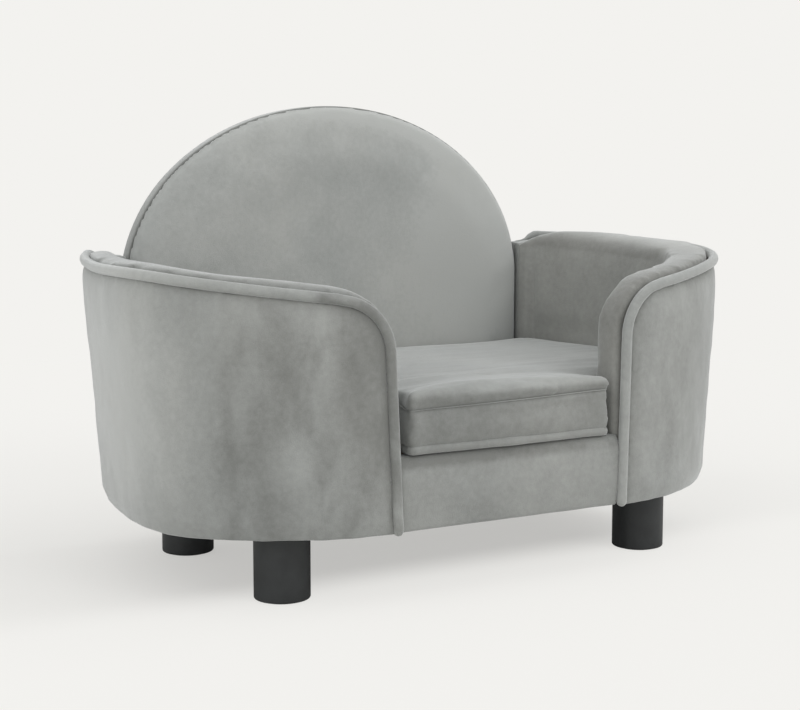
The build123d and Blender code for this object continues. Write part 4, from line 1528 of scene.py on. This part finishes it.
rail = cloth_grid(*rail_cells, rail_place)
ruffle(rail, 0.0003, 0.028, 51.0)
# Painted shade beside the arms and in the valley under the cushion.
paint_shading(rail, rail_shade)
rail_finish = velvet("velvet_rail", lightness=0.04)
rail_solids = ("front_rail_cover", "front_rail_padding")
rail_mesh = mesh_of(rail, "rail_cover")
rail_piece = piece_of(rail_mesh, "rail_cover", rail_finish, "frame", "velvet", *rail_solids)
padding = rail_piece.vertex_groups.new(name="padding")
for vert in rail_piece.data.vertices:
    thinner = rail_thin_share * over(vert.co.y, -0.170, -0.163)
    padding.add([vert.index], 1 - thinner, "REPLACE")
thicken(rail_piece, rail_thickness).vertex_group = padding.name

# %% [markdown]
# ## Underside
# A thin dark cloth closes the underside. It is cut to the plan of the body and stapled a little
# inside its edge, and it sags between the staples and the legs. It is one grid, trimmed by planes
# that touch the plan.

# %% Dust sheet
dust_cells = (120, 76)
dust_half = (0.30, 0.18)
dust_inset = 0.010
dust_z = 0.0618
dust_lowest_z = 0.060
dust_sag = 0.0012
dust_thickness = 0.0004
dust_steps = 24


def plan_planes(z, inset):
    """Upright planes round the plan of the body at height z."""
    planes = [
        (Vector((0.0, plan_at(z).front_y + inset, z)), Vector((0.0, -1.0, 0.0))),
        (Vector((0.0, rear_y - inset, z)), Vector((0.0, 1.0, 0.0))),
    ]
    for step in range(dust_steps + 1):
        place, away = wall_point(z, 3 * step / dust_steps, inset)
        planes.append((place, away))
        planes.append((Vector((-place.x, place.y, z)), Vector((-away.x, away.y, 0.0))))
    return planes


def dust_place(across, up):
    return Vector((dust_half[0] * (1 - 2 * across), dust_half[1] * (2 * up - 1), dust_z))


dust_planes = plan_planes(foot_z, dust_inset)
dust = cloth_grid(*dust_cells, dust_place)
trim(dust, dust_planes)
for vert in dust.verts:
    sag = dust_sag * (1 - exp(-depth_inside(dust_planes, vert.co) / 0.03))
    vert.co.z -= sag * (0.7 + 0.6 * noise.noise(vert.co / 0.05))
    vert.co.z = max(vert.co.z, dust_lowest_z)
loose = [vert for vert in dust.verts if not vert.link_faces]
bmesh.ops.delete(dust, geom=loose, context="VERTS")
dust_finish = plain_cloth("dust_sheet", (0.016, 0.016, 0.016), (0.04, 0.04, 0.04), 700.0)
dust_mesh = mesh_of(dust, "dust_sheet")
dust_piece = piece_of(dust_mesh, "dust_sheet", dust_finish, "frame", "dust_cloth", "dust_cover")
thicken(dust_piece, dust_thickness)

# %% [markdown]
# ## Zip
# The cushion's cover comes off through a zip across its rear side, where nobody sees it. Its tape
# lies in a shallow groove of the cushion. The teeth are small blocks in two rows that mesh, so one
# block is made again and again along the tape. The slider and its pull keep the frame's shapes.

# %% Zip tape and teeth
zip_low, zip_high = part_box("zip_tapes")
zip_y = (zip_low.y + zip_high.y) / 2
zip_z = (zip_low.z + zip_high.z) / 2
tape_thickness = 0.0006
tooth_pitch = 0.0014
tooth_margin = 0.003
tooth_size = (0.0009, 0.0014, 0.0022)
tooth_shift = 0.0006


def tape_place(across, up):
    x = zip_high.x - (zip_high.x - zip_low.x) * across
    return Vector((x, zip_y + tape_thickness / 2, zip_low.z + (zip_high.z - zip_low.z) * up))


tape_finish = plain_cloth("zip_tape_cloth", (0.11, 0.115, 0.11), (0.17, 0.175, 0.17), 900.0)
tape_mesh = mesh_of(cloth_grid(100, 8, tape_place), "zip_tape_cloth")
tape_piece = piece_of(tape_mesh, "zip_tape_cloth", tape_finish, "cushion", "zip_tape", "zip_tapes")
thicken(tape_piece, tape_thickness)

teeth = bmesh.new()
tooth_count = int((zip_high.x - zip_low.x - 2 * tooth_margin) / tooth_pitch)
for number in range(tooth_count):
    x = zip_low.x + tooth_margin + tooth_pitch * number
    z = zip_z + tooth_shift * (1 if number % 2 else -1)
    place = Matrix.LocRotScale(Vector((x, zip_y, z)), None, Vector(tooth_size))
    bmesh.ops.create_cube(teeth, matrix=place)
zip_grey = (0.5, 0.5, 0.5, 1.0)
teeth_finish = zinc("zip_teeth", zip_grey, 0.25)
teeth_mesh = mesh_of(teeth, "zip_teeth")
piece_of(teeth_mesh, "zip_teeth", teeth_finish, "cushion", "zip_metal").data.shade_flat()
print("teeth:", tooth_count)

# %% [markdown]
# ## Hard parts
# The legs and the boards keep the shapes of the frame. Only their finish is new: satin black lacquer
# on the legs, and plain wood, zinc and felt for what shows from below or when the cushion is lifted.

# %% Finishes of the hard parts
finishes = {
    "leg_black": finish_of("satin_black", satin_black),
    "plywood": wood("plywood", (0.62, 0.48, 0.31), (0.46, 0.33, 0.2), (1.0, 0.08, 1.0)),
    "timber": wood("timber", (0.60, 0.45, 0.28), (0.45, 0.31, 0.17), (1.0, 0.1, 1.0)),
    "felt": plain_cloth("felt", (0.02, 0.02, 0.02), (0.05, 0.05, 0.05), 500.0),
    "zinc_steel": zinc("zinc_steel", (0.62, 0.62, 0.6, 1.0), 0.3),
    "zip_metal": zinc("zip_metal", zip_grey, 0.25),
}
kept = 0
for row in frame["record"]["subparts"]:
    node = nodes[row["node"]]
    slot = row["material_slot"]
    if node.hide_render or slot not in finishes:
        continue
    node.data.materials.clear()
    node.data.materials.append(finishes[slot])
    kept += 1
print("solids kept from the frame:", kept)
